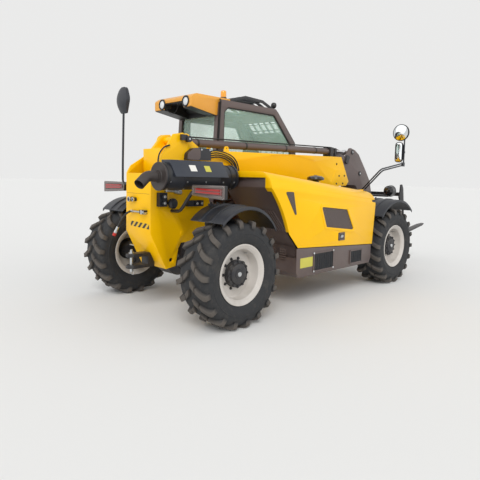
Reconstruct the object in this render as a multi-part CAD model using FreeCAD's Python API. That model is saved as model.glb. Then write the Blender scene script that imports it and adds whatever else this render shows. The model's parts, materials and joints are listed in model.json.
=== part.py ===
import FreeCAD, Part
import math
import os

# A telehandler: rough-terrain truck with a telescopic boom in the middle, the cab on its left
# and the engine bay on its right. Millimetres. X runs forward, Y to the left, Z up, and the
# origin used below is on the ground under the middle of the rear axle.

# Wheels and axles
WHEELBASE = 3120.0
HALF_TRACK = 940.0
TYRE_RADIUS = 537.5
TYRE_HALF_WIDTH = 205.0
TREAD_BASE_RADIUS = 503.0
BEAD_RADIUS = 258.0
TYRE_SIDES = 30
LUG_COUNT = 18
LUG_ROOT_WIDTH = 56.0
LUG_TIP_WIDTH = 30.0
LUG_SWEEP = 130.0
LUG_INNER_END = 18.0
LUG_END_SLOPE = 26.0
RIM_RADIUS = 304.0
RIM_HALF_WIDTH = 180.0
RIM_WALL = 12.0
RIM_DISC_OFFSET = 50.0
RIM_DISC_THICKNESS = 14.0
HUB_RADIUS = 135.0
HUB_DEPTH = 72.0
HUB_CAP_RADIUS = 48.0
KINGPIN_OFFSET = 120.0
KINGPIN_RADIUS = 28.0
SPINDLE_RADIUS = 45.0
AXLE_TUBE_RADIUS = 82.0
DIFF_RADIUS = 165.0
RUNNING_FIT = 0.08
YOKE_GAP = 10.0
FENDER_INNER_Y = 640.0
FENDER_OUTER_Y = 1124.0
FENDER_SKIN = 8.0
SEAT_GAP = 0.3

# Chassis
PLATE_OUTER = 235.0
PLATE_THICKNESS = 22.0
REAR_WALL_X = -470.0
FRAME_FOLD_Z = 881.0
FRAME_FRONT_X = WHEELBASE + 330.0
FRAME_TOP_Z = 900.0
FRAME_BOTTOM_Z = 520.0
AXLE_SEAT_Z = 760.0

# Boom, drawn lying level with the pivot at its own origin, then laid at its resting angle
PIVOT_X = -20.0
PIVOT_Z = 1880.0
PIVOT_PIN_RADIUS = 35.0
BOOM_REST_ANGLE = 1.07
BOOM_HALF_WIDTH = 170.0
BOOM_TOP = -104.0
BOOM_BOTTOM = -558.0
BOOM_REAR = -280.0
BOOM_REAR_BOTTOM = -360.0
BOOM_HEEL = 560.0
BOOM_FRONT = WHEELBASE + 125.0
BOOM_FRONT_SLANT = 110.0
BOOM_DOUBLER = 4.0
BOOM_WALL = 12.0
BOOM_GAP = 8.0
INNER_BOOM_WALL = 10.0
INNER_BOOM_REAR = 330.0
HEAD_PLATE = 22.0
EXTENSION_RADIUS = 47.5
EXTENSION_AXIS = -17.0
EXTENSION_ROD_RADIUS = 28.0
EXTENSION_REAR = 215.0
EXTENSION_FRONT = BOOM_FRONT - 70.0
EXTENSION_EYE = BOOM_FRONT + 231.0
EXTENSION_PIN_RADIUS = 22.0

# Lift cylinder: pins at its two ends with the boom at rest
LIFT_BASE = (-60.0, 860.0)
LIFT_EYE = (1150.0, 1225.0)
LIFT_BARREL_RADIUS = 62.0
LIFT_BARREL_LENGTH = 1080.0
LIFT_ROD_TAIL = 168.0
LIFT_ROD_RADIUS = 36.0
LIFT_PIN_RADIUS = 30.0

# Tilt cylinder and carriage
TILT_BASE = (WHEELBASE + 590.0, 1589.0)
CARRIAGE_PIVOT = (WHEELBASE + 980.0, 760.0)
TILT_EYE = (WHEELBASE + 1080.0, 1000.0)
TILT_BARREL_RADIUS = 52.0
TILT_BARREL_LENGTH = 560.0
TILT_ROD_TAIL = 158.0
TILT_ROD_RADIUS = 28.0
CARRIAGE_HALF_WIDTH = 660.0
CARRIAGE_LEAN = 9.0
CARRIAGE_FACE = 232.0
FORK_LENGTH = 1200.0
FORK_WIDTH = 120.0
FORK_THICKNESS = 45.0
FORK_CENTRE_Y = 445.0

# Engine bay on the right
BAY_OUTER_Y = -1100.0
BAY_INNER_Y = -350.0
HOOD_WALL = 5.0
HOOD_SHOULDER = 190.0
HOOD_REAR_X = 415.0
HOOD_FRONT_X = WHEELBASE - 553.0
HOOD_REAR_Z = 1552.0
HOOD_FALL = 0.104
HOOD_FOOT = (876.0, 717.0)
HOOD_TOE = (HOOD_FRONT_X - 72.0, 624.0)
HOOD_HINGE_X = HOOD_FRONT_X + 23.0
HOOD_HINGE_RISE = 12.2
HOOD_HINGE_Z = HOOD_REAR_Z - HOOD_FALL * (HOOD_HINGE_X - HOOD_REAR_X) + HOOD_HINGE_RISE
# The wheel arch of the hood: its top, middle and lower end as (x, z)
HOOD_ARCH = ((HOOD_REAR_X, 1381.0), (592.0, 1149.0), (716.0, 882.0))
# Corners of the vent panel: share of the hood's length from its rear edge, height
VENT_PANEL = ((0.411, 1160.0), (0.666, 1111.0), (0.745, 847.0), (0.461, 918.0))
SKIRT_REAR_X = 856.0
SKIRT_FRONT_X = WHEELBASE - 651.0
SKIRT_BOTTOM_Z = 376.0
SKIRT_DECK_Z = 600.0
# Access grilles: share of the skirt's length, middle height, width, height
SKIRT_GRILLES = ((0.318, 523.0, 410.0, 226.0), (0.763, 498.0, 290.0, 180.0))
PANEL_GAP = 7.0
BULKHEAD_X = SKIRT_FRONT_X - 29.0
HOOD_HINGES = (-480.0, -860.0)
HINGE_HALF = 30.0
HINGE_PIN_RADIUS = 6.0
ARCH_PANEL_GAP = 24.0

# Exhaust
MUFFLER_Y = -500.0
MUFFLER_Z = 1475.0
MUFFLER_RADIUS = 130.0
MUFFLER_REAR_X = -560.0
MUFFLER_FRONT_X = 385.0

# Cab on the left
CAB_OUTER_Y = 1050.0
CAB_WALL = 42.0
CAB_POST = 58.0
CAB_FLOOR_Z = 640.0
CAB_REAR_X = 800.0
CAB_FRONT_X = WHEELBASE - 670.0
CAB_TOP_Z = 2478.0
GLASS = 6.0
GLASS_FIT = 0.6
# Windscreen opening: distance ahead of the cab's front, height
SCREEN_OPENING = ((-310.0, 2350.0), (-20.0, 2000.0), (150.0, 1400.0), (150.0, 1010.0), (-100.0, 1010.0),
                  (-150.0, 1980.0), (-400.0, 2300.0))
DOOR_REAR_X = 950.0
DOOR_FRONT_X = CAB_FRONT_X - 390.0
DOOR_SILL_Z = 760.0
DOOR_TOP_Z = 2330.0
DOOR_NOSE = 150.0
DOOR_GAP = 7.0
DOOR_RAIL = 62.0
DOOR_WINDOW_Z = DOOR_SILL_Z + 420.0
DOOR_HINGES = (DOOR_SILL_Z + 220.0, DOOR_TOP_Z - 280.0)
DOOR_AXIS_OUT = 13.0
HINGE_LENGTH = 70.0

# Visor over the rear of the cab, with its two lamps
VISOR_REAR_X = 430.0
VISOR_LAMPS = (364.0, 858.0)
VISOR_LAMP_Z = 2405.0
VISOR_LAMP_RADIUS = 54.0
BEACON_PLACE = (1000.0, 296.0)

AXLES = {"f": WHEELBASE, "r": 0.0}
SIDES = {"l": 1, "r": -1}
WHEEL_Z = TYRE_RADIUS


def box(x, y, z):
    """A block between the two ends of each pair."""
    size = [high - low for low, high in (x, y, z)]
    return Part.makeBox(*size, FreeCAD.Vector(x[0], y[0], z[0]))


def cylinder(start, end, radius):
    """A round bar between two points."""
    a = FreeCAD.Vector(*start)
    way = FreeCAD.Vector(*end) - a
    return Part.makeCylinder(radius, way.Length, a, way)


def rounded_edges(points, radius, closed):
    """Straight edges through the points with each corner turned by a tangent arc."""
    count = len(points)
    entries = []
    for i, corner in enumerate(points):
        if not closed and i in (0, count - 1):
            entries.append((corner, None, corner))
            continue
        to_last = (points[i - 1] - corner).normalize()
        to_next = (points[(i + 1) % count] - corner).normalize()
        half = to_last.getAngle(to_next) / 2
        size = radius[i] if isinstance(radius, (list, tuple)) else radius
        if size <= 0 or half > math.radians(89):
            entries.append((corner, None, corner))
            continue
        reach = size / math.tan(half)
        middle = (to_last + to_next).normalize() * (size / math.sin(half) - size)
        entries.append((corner + to_last * reach, corner + middle, corner + to_next * reach))
    edges = []
    for i, (start, middle, end) in enumerate(entries):
        if middle is not None:
            edges.append(Part.Arc(start, middle, end).toShape())
        if i + 1 < count or closed:
            following = entries[(i + 1) % count][0]
            if (following - end).Length > 1e-6:
                edges.append(Part.makeLine(end, following))
    return edges


def plate(outline, across, span, radius=0.0):
    """A flat piece: its outline in the plane square to the named axis, swept over the span."""
    low, high = span
    place = {
        "y": lambda a, b: FreeCAD.Vector(a, low, b),
        "x": lambda a, b: FreeCAD.Vector(low, a, b),
        "z": lambda a, b: FreeCAD.Vector(a, b, low),
    }[across]
    push = {"y": (0, 1, 0), "x": (1, 0, 0), "z": (0, 0, 1)}[across]
    points = [place(a, b) for a, b in outline]
    wire = Part.Wire(rounded_edges(points, radius, True))
    return Part.Face(wire).extrude(FreeCAD.Vector(*push) * (high - low))


def bent_tube(points, radius, bend):
    """A round tube along straight runs joined by arcs."""
    path = [FreeCAD.Vector(*p) for p in points]
    wire = Part.Wire(rounded_edges(path, bend, False))
    ring = Part.Wire(Part.Circle(path[0], path[1] - path[0], radius).toShape())
    return wire.makePipeShell([ring], True, False)


def turned(profile, centre, side=1):
    """A piece turned about the Y axis through the centre, from (offset, radius) points."""
    x, y, z = centre
    points = [FreeCAD.Vector(x, y + side * offset, z + radius) for offset, radius in profile]
    face = Part.Face(Part.makePolygon(points + [points[0]]))
    return face.revolve(FreeCAD.Vector(x, y, z), FreeCAD.Vector(0, 1, 0), 360)


def fused(pieces):
    """One solid from pieces that meet."""
    pieces = list(pieces)
    whole = pieces[0].multiFuse(pieces[1:]) if len(pieces) > 1 else pieces[0]
    return whole.removeSplitter()


def set_of(pieces):
    """Solids that stay separate in one node."""
    return Part.makeCompound(list(pieces))


def mirrored(shape):
    """The same piece on the other side of the middle plane."""
    return shape.mirror(FreeCAD.Vector(0, 0, 0), FreeCAD.Vector(0, 1, 0))


def about_y(shape, pivot, degrees):
    """Turned about a cross pin; positive degrees lift what lies in front of it."""
    copy = shape.copy()
    copy.rotate(FreeCAD.Vector(pivot[0], 0, pivot[1]), FreeCAD.Vector(0, -1, 0), degrees)
    return copy


def boom_place(shape):
    """From the boom's own lying frame to its place at rest."""
    moved = shape.copy()
    moved.translate(FreeCAD.Vector(PIVOT_X, 0, PIVOT_Z))
    return about_y(moved, (PIVOT_X, PIVOT_Z), BOOM_REST_ANGLE)


def boom_local(x, z):
    """A point given at rest, in the boom's own lying frame."""
    turn = math.radians(BOOM_REST_ANGLE)
    along = x - PIVOT_X
    up = z - PIVOT_Z
    return (along * math.cos(turn) + up * math.sin(turn),
            up * math.cos(turn) - along * math.sin(turn))


def boom_point(along, up):
    """Where a point of the boom's lying frame is at rest, as (x, z)."""
    turn = math.radians(BOOM_REST_ANGLE)
    return (PIVOT_X + along * math.cos(turn) - up * math.sin(turn),
            PIVOT_Z + along * math.sin(turn) + up * math.cos(turn))


def ring_of_sides(radius, offset):
    """Corners of a many-sided ring about the Y axis, for the tyre's moulded body."""
    step = 2 * math.pi / TYRE_SIDES
    return [FreeCAD.Vector(radius * math.sin(i * step), offset, radius * math.cos(i * step))
            for i in range(TYRE_SIDES)]


def faceted(rings):
    """A solid with flat faces between rings of matching corners, closed by its two end rings."""
    outlines = [rings[0], rings[-1]]
    for near, far in zip(rings, rings[1:]):
        for i, corner in enumerate(near):
            after = (i + 1) % len(near)
            outlines.append([corner, near[after], far[after], far[i]])
    faces = [Part.Face(Part.makePolygon(outline + outline[:1])) for outline in outlines]
    solid = Part.Solid(Part.Shell(faces))
    return solid if solid.Volume > 0 else solid.reversed()


def tyre_lug(side, turn):
    """One slanted tread bar from the shoulder in towards the middle, its outer end sloped."""
    half = LUG_SWEEP / 2
    outer = TYRE_HALF_WIDTH - 1.0
    base = TREAD_BASE_RADIUS - 60.0
    top = math.sqrt(TYRE_RADIUS ** 2 - (half + 2.0) ** 2)
    # Corners: place along the rolling direction, distance from the tyre's middle
    root = ((-half, outer), (-half + LUG_ROOT_WIDTH, outer))
    tip = ((half, LUG_INNER_END), (half - LUG_TIP_WIDTH, LUG_INNER_END))
    sections = []
    for radius, share in ((base, 0.0), (top, LUG_END_SLOPE / (outer - LUG_INNER_END))):
        drawn_in = [(x + share * (inner_x - x), y + share * (inner_y - y))
                    for (x, y), (inner_x, inner_y) in zip(root, reversed(tip))]
        sections.append([FreeCAD.Vector(x, side * y, radius) for x, y in drawn_in + list(tip)])
    bar = faceted(sections)
    bar.rotate(FreeCAD.Vector(0, 0, 0), FreeCAD.Vector(0, 1, 0), turn)
    return bar


def tyre():
    """The tyre about the origin, with its lugs."""
    shoulder = TYRE_HALF_WIDTH - 22.0
    stations = (
        (-TYRE_HALF_WIDTH, TREAD_BASE_RADIUS - 48.0),
        (-shoulder, TREAD_BASE_RADIUS),
        (shoulder, TREAD_BASE_RADIUS),
        (TYRE_HALF_WIDTH, TREAD_BASE_RADIUS - 48.0),
    )
    body = faceted([ring_of_sides(radius, y) for y, radius in stations])
    pitch = 360.0 / LUG_COUNT
    lugs = [tyre_lug(side, i * pitch + (pitch / 2 if side > 0 else 0.0))
            for side in (-1, 1) for i in range(LUG_COUNT)]
    body = body.fuse(lugs)
    for side in (-1, 1):
        bead = ring_of_sides(RIM_RADIUS + 4.0, side * (RIM_HALF_WIDTH - RIM_WALL - 1.0))
        wall = ring_of_sides(RIM_RADIUS + 80.0, side * (TYRE_HALF_WIDTH + 1.0))
        body = body.cut(faceted([bead, wall]))
    reach = TYRE_HALF_WIDTH + 10.0
    bore = faceted([ring_of_sides(BEAD_RADIUS + 2.0, y) for y in (-reach, reach)])
    return body.cut(bore).removeSplitter()


def rim():
    """Rim, dished disc and planetary hub about the origin, outer side towards +Y."""
    edge = RIM_HALF_WIDTH
    seat = BEAD_RADIUS - 0.3
    barrel = turned((
        (-edge, RIM_RADIUS),
        (-edge + RIM_WALL, RIM_RADIUS),
        (-edge + RIM_WALL, seat),
        (edge - RIM_WALL, seat),
        (edge - RIM_WALL, RIM_RADIUS),
        (edge, RIM_RADIUS),
        (edge, RIM_RADIUS - 20.0),
        (edge - 34.0, seat - RIM_WALL),
        (-edge, seat - RIM_WALL),
    ), (0, 0, 0))
    disc_in = RIM_DISC_OFFSET - RIM_DISC_THICKNESS / 2
    disc_out = RIM_DISC_OFFSET + RIM_DISC_THICKNESS / 2
    disc = turned((
        (disc_in - 30.0, seat - RIM_WALL + 2.0),
        (disc_out - 30.0 + 8.0, seat - RIM_WALL + 2.0),
        (disc_out, HUB_RADIUS + 30.0),
        (disc_out, SPINDLE_RADIUS + 10.0),
        (disc_in, SPINDLE_RADIUS + 10.0),
        (disc_in, HUB_RADIUS + 30.0),
    ), (0, 0, 0))
    face = disc_out + HUB_DEPTH
    hub = turned((
        (disc_in, SPINDLE_RADIUS + RUNNING_FIT),
        (disc_in, HUB_RADIUS),
        (face - 14.0, HUB_RADIUS),
        (face, HUB_RADIUS - 16.0),
        (face, HUB_CAP_RADIUS),
        (face + 10.0, HUB_CAP_RADIUS - 6.0),
        (face + 10.0, 0.0),
        (disc_out + 30.0, 0.0),
        (disc_out + 30.0, SPINDLE_RADIUS + RUNNING_FIT),
    ), (0, 0, 0))
    return fused([barrel, disc, hub])


def kingpin_y(side):
    """Where the steering pin stands, across the machine."""
    return side * (HALF_TRACK - KINGPIN_OFFSET)


def axle(x):
    """Axle beam with its differential, top seat and the two steering yokes."""
    yoke_root = HALF_TRACK - KINGPIN_OFFSET - 145.0
    arm_low = 145.0
    arm_high = 180.0
    tube = cylinder((x, -yoke_root + 10.0, WHEEL_Z), (x, yoke_root - 10.0, WHEEL_Z), AXLE_TUBE_RADIUS)
    diff = turned((
        (-190.0, AXLE_TUBE_RADIUS + 12.0),
        (-110.0, DIFF_RADIUS),
        (110.0, DIFF_RADIUS),
        (190.0, AXLE_TUBE_RADIUS + 12.0),
        (190.0, 0.0),
        (-190.0, 0.0),
    ), (x, 0, WHEEL_Z))
    seat = box((x - 62.0, x + 62.0), (-PLATE_OUTER, PLATE_OUTER), (WHEEL_Z + 40.0, AXLE_SEAT_Z))
    pieces = [tube, diff, seat]
    for side in (-1, 1):
        web = [(side * (yoke_root - 55.0), WHEEL_Z - arm_high), (side * yoke_root, WHEEL_Z - arm_high),
               (side * yoke_root, WHEEL_Z + arm_high), (side * (yoke_root - 55.0), WHEEL_Z + arm_high)]
        pieces.append(plate(web, "x", (x - 70.0, x + 70.0)))
        pin_y = kingpin_y(side)
        for low, high in ((arm_low, arm_high), (-arm_high, -arm_low)):
            reach = sorted((side * (yoke_root - 20.0), pin_y))
            arm = box((x - 52.0, x + 52.0), reach, (WHEEL_Z + low, WHEEL_Z + high))
            boss = cylinder((x, pin_y, WHEEL_Z + low), (x, pin_y, WHEEL_Z + high), 52.0)
            pieces += [arm, boss]
    whole = fused(pieces)
    for side in (-1, 1):
        pin_y = kingpin_y(side)
        bore = cylinder((x, pin_y, WHEEL_Z - 200.0), (x, pin_y, WHEEL_Z + 200.0),
                        KINGPIN_RADIUS + RUNNING_FIT)
        whole = whole.cut(bore.common(box((x - 60.0, x + 60.0), sorted((pin_y - 60.0, pin_y + 60.0)),
                                          (WHEEL_Z + arm_low - 1.0, WHEEL_Z + arm_high + 1.0))))
        whole = whole.cut(bore.common(box((x - 60.0, x + 60.0), sorted((pin_y - 60.0, pin_y + 60.0)),
                                          (WHEEL_Z - arm_high - 1.0, WHEEL_Z - arm_low + 1.0))))
    return whole


def fender_band(x, axle_key, span, lift_low, lift_high):
    """A curved strip along the mudguard between two heights above its outer line."""
    edges = []
    ends = []
    for lift in (lift_low, lift_high):
        points = [FreeCAD.Vector(px, span[0], pz + lift) for px, pz in fender_arc(x, axle_key)]
        edges.append(Part.Arc(*points).toShape())
        ends.append((points[0], points[2]))
    edges += [Part.makeLine(ends[0][0], ends[1][0]), Part.makeLine(ends[0][1], ends[1][1])]
    face = Part.Face(Part.Wire(Part.__sortEdges__(edges)))
    return face.extrude(FreeCAD.Vector(0, span[1] - span[0], 0))


def knuckle(x, side, axle_key):
    """Steering knuckle: drive housing, king pins, spindle and the mudguard stay."""
    pin_y = kingpin_y(side)
    inner = pin_y - side * 62.0
    outer = side * (HALF_TRACK + RIM_DISC_OFFSET - RIM_DISC_THICKNESS / 2 - 6.0)
    arm_low = 145.0
    boss_top = arm_low - YOKE_GAP
    pin_top = 205.0
    pieces = [
        cylinder((x, inner, WHEEL_Z), (x, outer, WHEEL_Z), 112.0),
        cylinder((x, pin_y, WHEEL_Z - boss_top), (x, pin_y, WHEEL_Z + boss_top), 44.0),
        cylinder((x, pin_y, WHEEL_Z - 182.0), (x, pin_y, WHEEL_Z + pin_top + 14.0), KINGPIN_RADIUS),
        cylinder((x, outer - side * 20.0, WHEEL_Z), (x, outer + side * 36.0, WHEEL_Z), SPINDLE_RADIUS),
        bent_tube((
            (x, pin_y, WHEEL_Z + pin_top + 5.0),
            (x, pin_y - side * 132.0, WHEEL_Z + pin_top + 5.0),
            (x, pin_y - side * 132.0, WHEEL_Z + 590.0),
            (x, pin_y + side * 60.0, WHEEL_Z + 628.0),
        ), 13.0, 40.0),
        cylinder((x, pin_y + side * 40.0, WHEEL_Z + 625.0), (x, pin_y + side * 40.0, WHEEL_Z + 700.0), 22.0),
    ]
    above = fender_band(x, axle_key, (pin_y - 120.0, pin_y + 120.0), -FENDER_SKIN - SEAT_GAP, 200.0)
    return fused(pieces).cut(above)


def fender_arc(x, axle_key):
    """Three points of the mudguard's outer line: rear end, crown and front end."""
    lines = {"r": ((-275.0, 1052.0), (95.0, 1200.0), (470.0, 962.0)),
             "f": ((-400.0, 985.0), (80.0, 1205.0), (505.0, 1040.0))}
    return [(x + along, up) for along, up in lines[axle_key]]


def fender(x, side, axle_key):
    """Curved mudguard with two raised ribs and a turned-down outer lip."""
    inner_y = side * FENDER_INNER_Y
    outer_y = side * FENDER_OUTER_Y
    pieces = [fender_band(x, axle_key, sorted((inner_y, outer_y)), -FENDER_SKIN, 0.0)]
    for share in (0.30, 0.62):
        middle = inner_y + (outer_y - inner_y) * share
        pieces.append(fender_band(x, axle_key, (middle - 22.0, middle + 22.0), -FENDER_SKIN / 2, 12.0))
    lip = sorted((outer_y, outer_y - side * FENDER_SKIN))
    pieces.append(fender_band(x, axle_key, lip, -34.0, 0.0))
    return fused(pieces)


def frame_outline(side):
    """Side plate of the chassis with its boom tower, from the rear foot forwards."""
    tower = {
        -1: ((-457.0, 1549.0), (-367.0, 1630.0), (-332.0, 1700.0), (-239.0, 1848.0),
             (-188.0, 1924.0), (-67.0, 1946.0), (150.0, 1807.0)),
        1: ((-455.0, 1536.0), (-423.0, 1587.0), (-225.0, 1709.0), (-113.0, 1837.0),
            (-28.0, 1946.0), (93.0, 1959.0), (170.0, 1807.0)),
    }[side]
    notch = ((147.0, 520.0), (112.0, 690.0), (75.0, AXLE_SEAT_Z), (-75.0, AXLE_SEAT_Z),
             (-112.0, 700.0), (-147.0, 510.0))
    front_notch = [(WHEELBASE + along, up if up > 600 else FRAME_BOTTOM_Z) for along, up in notch]
    return ([(-270.0, 490.0), (REAR_WALL_X, FRAME_FOLD_Z), (REAR_WALL_X, 1505.0)] + list(tower)
            + [(215.0, 1500.0), (330.0, 1180.0), (620.0, 930.0), (900.0, FRAME_TOP_Z),
               (FRAME_FRONT_X - 60.0, FRAME_TOP_Z), (FRAME_FRONT_X, FRAME_TOP_Z - 90.0),
               (FRAME_FRONT_X, FRAME_BOTTOM_Z)]
            + front_notch + list(notch))


def chassis_frame():
    """Two side plates tied by the rear wall, floor plates, cross tubes and pin bosses."""
    inner = PLATE_OUTER - PLATE_THICKNESS
    pieces = []
    for side in (-1, 1):
        span = sorted((side * inner, side * PLATE_OUTER))
        side_plate = plate(frame_outline(side), "y", span)
        slot = plate(((-232.0, 560.0), (-182.0, 560.0), (-182.0, 604.0), (-232.0, 604.0)), "y",
                     (span[0] - 1.0, span[1] + 1.0), 20.0)
        pieces.append(side_plate.cut(slot))
        pieces.append(cylinder((PIVOT_X, span[0], PIVOT_Z), (PIVOT_X, span[1], PIVOT_Z), 60.0))
    width = (-inner - 1.0, inner + 1.0)
    pieces.append(box((REAR_WALL_X, REAR_WALL_X + 16.0), width, (FRAME_FOLD_Z, 1505.0)))
    pieces.append(plate(((REAR_WALL_X, FRAME_FOLD_Z), (-270.0, 490.0), (-252.0, 490.0),
                         (REAR_WALL_X + 16.0, FRAME_FOLD_Z)), "y", width))
    pieces.append(box((-268.0, -200.0), width, (510.0, 530.0)))
    pieces.append(box((180.0, WHEELBASE - 190.0), width, (FRAME_BOTTOM_Z, FRAME_BOTTOM_Z + 12.0)))
    pieces.append(box((1180.0, WHEELBASE - 190.0), width, (720.0, 732.0)))
    pieces.append(box((FRAME_FRONT_X - 16.0, FRAME_FRONT_X), width, (FRAME_BOTTOM_Z, FRAME_TOP_Z - 90.0)))
    for x, z, radius in ((1500.0, 640.0, 50.0), (2500.0, 640.0, 50.0)):
        pieces.append(cylinder((x, -inner - 1.0, z), (x, inner + 1.0, z), radius))
    pieces.append(cylinder((PIVOT_X, -PLATE_OUTER - 12.0, PIVOT_Z), (PIVOT_X, PLATE_OUTER + 12.0, PIVOT_Z),
                           PIVOT_PIN_RADIUS))
    pieces.append(cylinder((LIFT_BASE[0], -PLATE_OUTER - 8.0, LIFT_BASE[1]),
                           (LIFT_BASE[0], PLATE_OUTER + 8.0, LIFT_BASE[1]), LIFT_PIN_RADIUS))
    return fused(pieces)


def hitch():
    """Rear tow clevis: two jaws on the sloped rear face, with its lift-out pin."""
    jaw_width = 60.0
    back = -300.0
    tip = -605.0
    pieces = []
    for low, high in ((500.0, 535.0), (620.0, 655.0)):
        outline = ((back, -jaw_width), (tip + 45.0, -jaw_width), (tip, -20.0), (tip, 20.0),
                   (tip + 45.0, jaw_width), (back, jaw_width))
        pieces.append(plate(outline, "z", (low, high)))
    pieces.append(box((-385.0, back), (-jaw_width, jaw_width), (500.0, 655.0)))
    body = fused(pieces)
    slope = plate(((REAR_WALL_X, FRAME_FOLD_Z), (-270.0, 490.0), (-100.0, 490.0), (-100.0, FRAME_FOLD_Z)),
                  "y", (-100.0, 100.0))
    body = body.cut(slope)
    bore = cylinder((-548.0, 0, 480.0), (-548.0, 0, 700.0), 16.0 + RUNNING_FIT)
    pin = fused([cylinder((-548.0, 0, 464.0), (-548.0, 0, 690.0), 16.0),
                 cylinder((-548.0, 0, 655.3), (-548.0, 0, 668.0), 30.0)])
    return body.cut(bore), pin


def boom_outer():
    """Outer boom: a long welded box open at its slanted front, with pivot ears and lift lugs."""
    half = BOOM_HALF_WIDTH
    nose = BOOM_FRONT + BOOM_FRONT_SLANT
    chin = BOOM_BOTTOM + 64.0
    side_line = ((BOOM_REAR, BOOM_TOP), (BOOM_FRONT - BOOM_FRONT_SLANT, BOOM_TOP), (nose, chin),
                 (nose - 75.0, BOOM_BOTTOM), (BOOM_HEEL, BOOM_BOTTOM),
                 (BOOM_REAR, BOOM_REAR_BOTTOM))
    shell = plate(side_line, "y", (-half, half))
    wall = BOOM_WALL
    hollow = plate(((BOOM_REAR + wall, BOOM_TOP - wall), (nose + 1.0, BOOM_TOP - wall),
                    (nose + 1.0, BOOM_BOTTOM + wall), (BOOM_HEEL, BOOM_BOTTOM + wall),
                    (BOOM_REAR + wall, BOOM_REAR_BOTTOM + wall)), "y", (-half + wall, half - wall))
    shell = shell.cut(hollow)
    pieces = [shell]
    # Doublers welded on both sides: a long arched one under the top edge and one at the nose
    arched = ((BOOM_FRONT * 0.45, -133.0), (BOOM_FRONT * 0.6, -118.0), (BOOM_FRONT * 0.745, -190.0))
    nose_plate = ((BOOM_FRONT - 262.0, -303.0), (BOOM_FRONT - 372.0, -500.0),
                  (BOOM_FRONT - 345.0, BOOM_BOTTOM), (nose - 75.0, BOOM_BOTTOM), (nose, chin),
                  (nose - BOOM_FRONT_SLANT, -303.0))
    for side in (-1, 1):
        span = sorted((side * (half - 24.0), side * half))
        skin = sorted((side * (half - 1.0), side * (half + BOOM_DOUBLER)))
        pieces.append(plate(nose_plate, "y", skin, (30.0, 30.0, 0, 0, 0, 0)))
        start, middle, end = [FreeCAD.Vector(x, skin[0], z) for x, z in arched]
        top = [FreeCAD.Vector(point.x, skin[0], BOOM_TOP - 2.0) for point in (end, start)]
        edges = [Part.Arc(start, middle, end).toShape(), Part.makeLine(end, top[0]),
                 Part.makeLine(top[0], top[1]), Part.makeLine(top[1], start)]
        pieces.append(Part.Face(Part.Wire(edges)).extrude(FreeCAD.Vector(0, skin[1] - skin[0], 0)))
        eye_x = 660.0
        eye = plate(((eye_x - 42.0, BOOM_TOP - 4.0), (eye_x - 24.0, BOOM_TOP + 58.0),
                     (eye_x + 24.0, BOOM_TOP + 58.0), (eye_x + 42.0, BOOM_TOP - 4.0)), "y",
                    sorted((side * (half - 16.0), side * half)), (0, 22.0, 22.0, 0))
        hole = cylinder((eye_x, -half - 1.0, BOOM_TOP + 34.0), (eye_x, half + 1.0, BOOM_TOP + 34.0), 11.0)
        pieces.append(eye.cut(hole))
        ear = plate(((-190.0, BOOM_TOP - 20.0), (-74.0, 30.0), (0.0, 74.0), (74.0, 30.0),
                     (260.0, BOOM_TOP - 20.0)), "y", span, (0, 60.0, 60.0, 60.0, 0))
        pieces.append(ear)
        lug_x, lug_z = boom_local(*LIFT_EYE)
        lug_span = sorted((side * 62.0, side * 88.0))
        lug = plate(((lug_x - 150.0, BOOM_BOTTOM + 2.0), (lug_x - 60.0, lug_z - 55.0),
                     (lug_x + 60.0, lug_z - 55.0), (lug_x + 150.0, BOOM_BOTTOM + 2.0)), "y", lug_span,
                    (0, 40.0, 40.0, 0))
        boss = cylinder((lug_x, side * 52.0, lug_z), (lug_x, side * 104.0, lug_z), LIFT_PIN_RADIUS)
        pieces += [lug, boss]
    clevis_x = EXTENSION_REAR - 60.0
    for side in (-1, 1):
        span = sorted((side * 36.0, side * 54.0))
        pieces.append(plate(((clevis_x - 70.0, BOOM_TOP - 2.0), (clevis_x - 40.0, EXTENSION_AXIS + 34.0),
                             (clevis_x + 40.0, EXTENSION_AXIS + 34.0), (clevis_x + 54.0, BOOM_TOP - 2.0)),
                            "y", span, (0, 25.0, 25.0, 0)))
    pieces.append(cylinder((clevis_x, -60.0, EXTENSION_AXIS), (clevis_x, 60.0, EXTENSION_AXIS), 20.0))
    whole = fused(pieces)
    bore = cylinder((0, -PLATE_OUTER, 0), (0, PLATE_OUTER, 0), PIVOT_PIN_RADIUS + RUNNING_FIT)
    return boom_place(whole.cut(bore))


def extension_barrel():
    """Long cylinder barrel on top of the boom, with its rear eye and front saddle."""
    clevis_x = EXTENSION_REAR - 60.0
    level = EXTENSION_AXIS
    tube = cylinder((EXTENSION_REAR, 0, level), (EXTENSION_FRONT, 0, level), EXTENSION_RADIUS)
    eye = cylinder((clevis_x, -34.0, level), (clevis_x, 34.0, level), 34.0)
    neck = cylinder((clevis_x, 0, level), (EXTENSION_REAR + 5.0, 0, level), 30.0)
    saddle = box((EXTENSION_FRONT - 190.0, EXTENSION_FRONT - 120.0), (-66.0, 66.0),
                 (BOOM_TOP, level + 20.0))
    whole = fused([tube, eye, neck, saddle])
    whole = whole.cut(cylinder((EXTENSION_REAR + 40.0, 0, level), (EXTENSION_FRONT - 60.0, 0, level),
                               EXTENSION_RADIUS - 9.0))
    whole = whole.cut(cylinder((EXTENSION_FRONT - 61.0, 0, level), (EXTENSION_FRONT + 1.0, 0, level),
                               EXTENSION_ROD_RADIUS + RUNNING_FIT))
    whole = whole.cut(cylinder((clevis_x, -40.0, level), (clevis_x, 40.0, level), 20.0 + RUNNING_FIT))
    return boom_place(whole)


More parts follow.
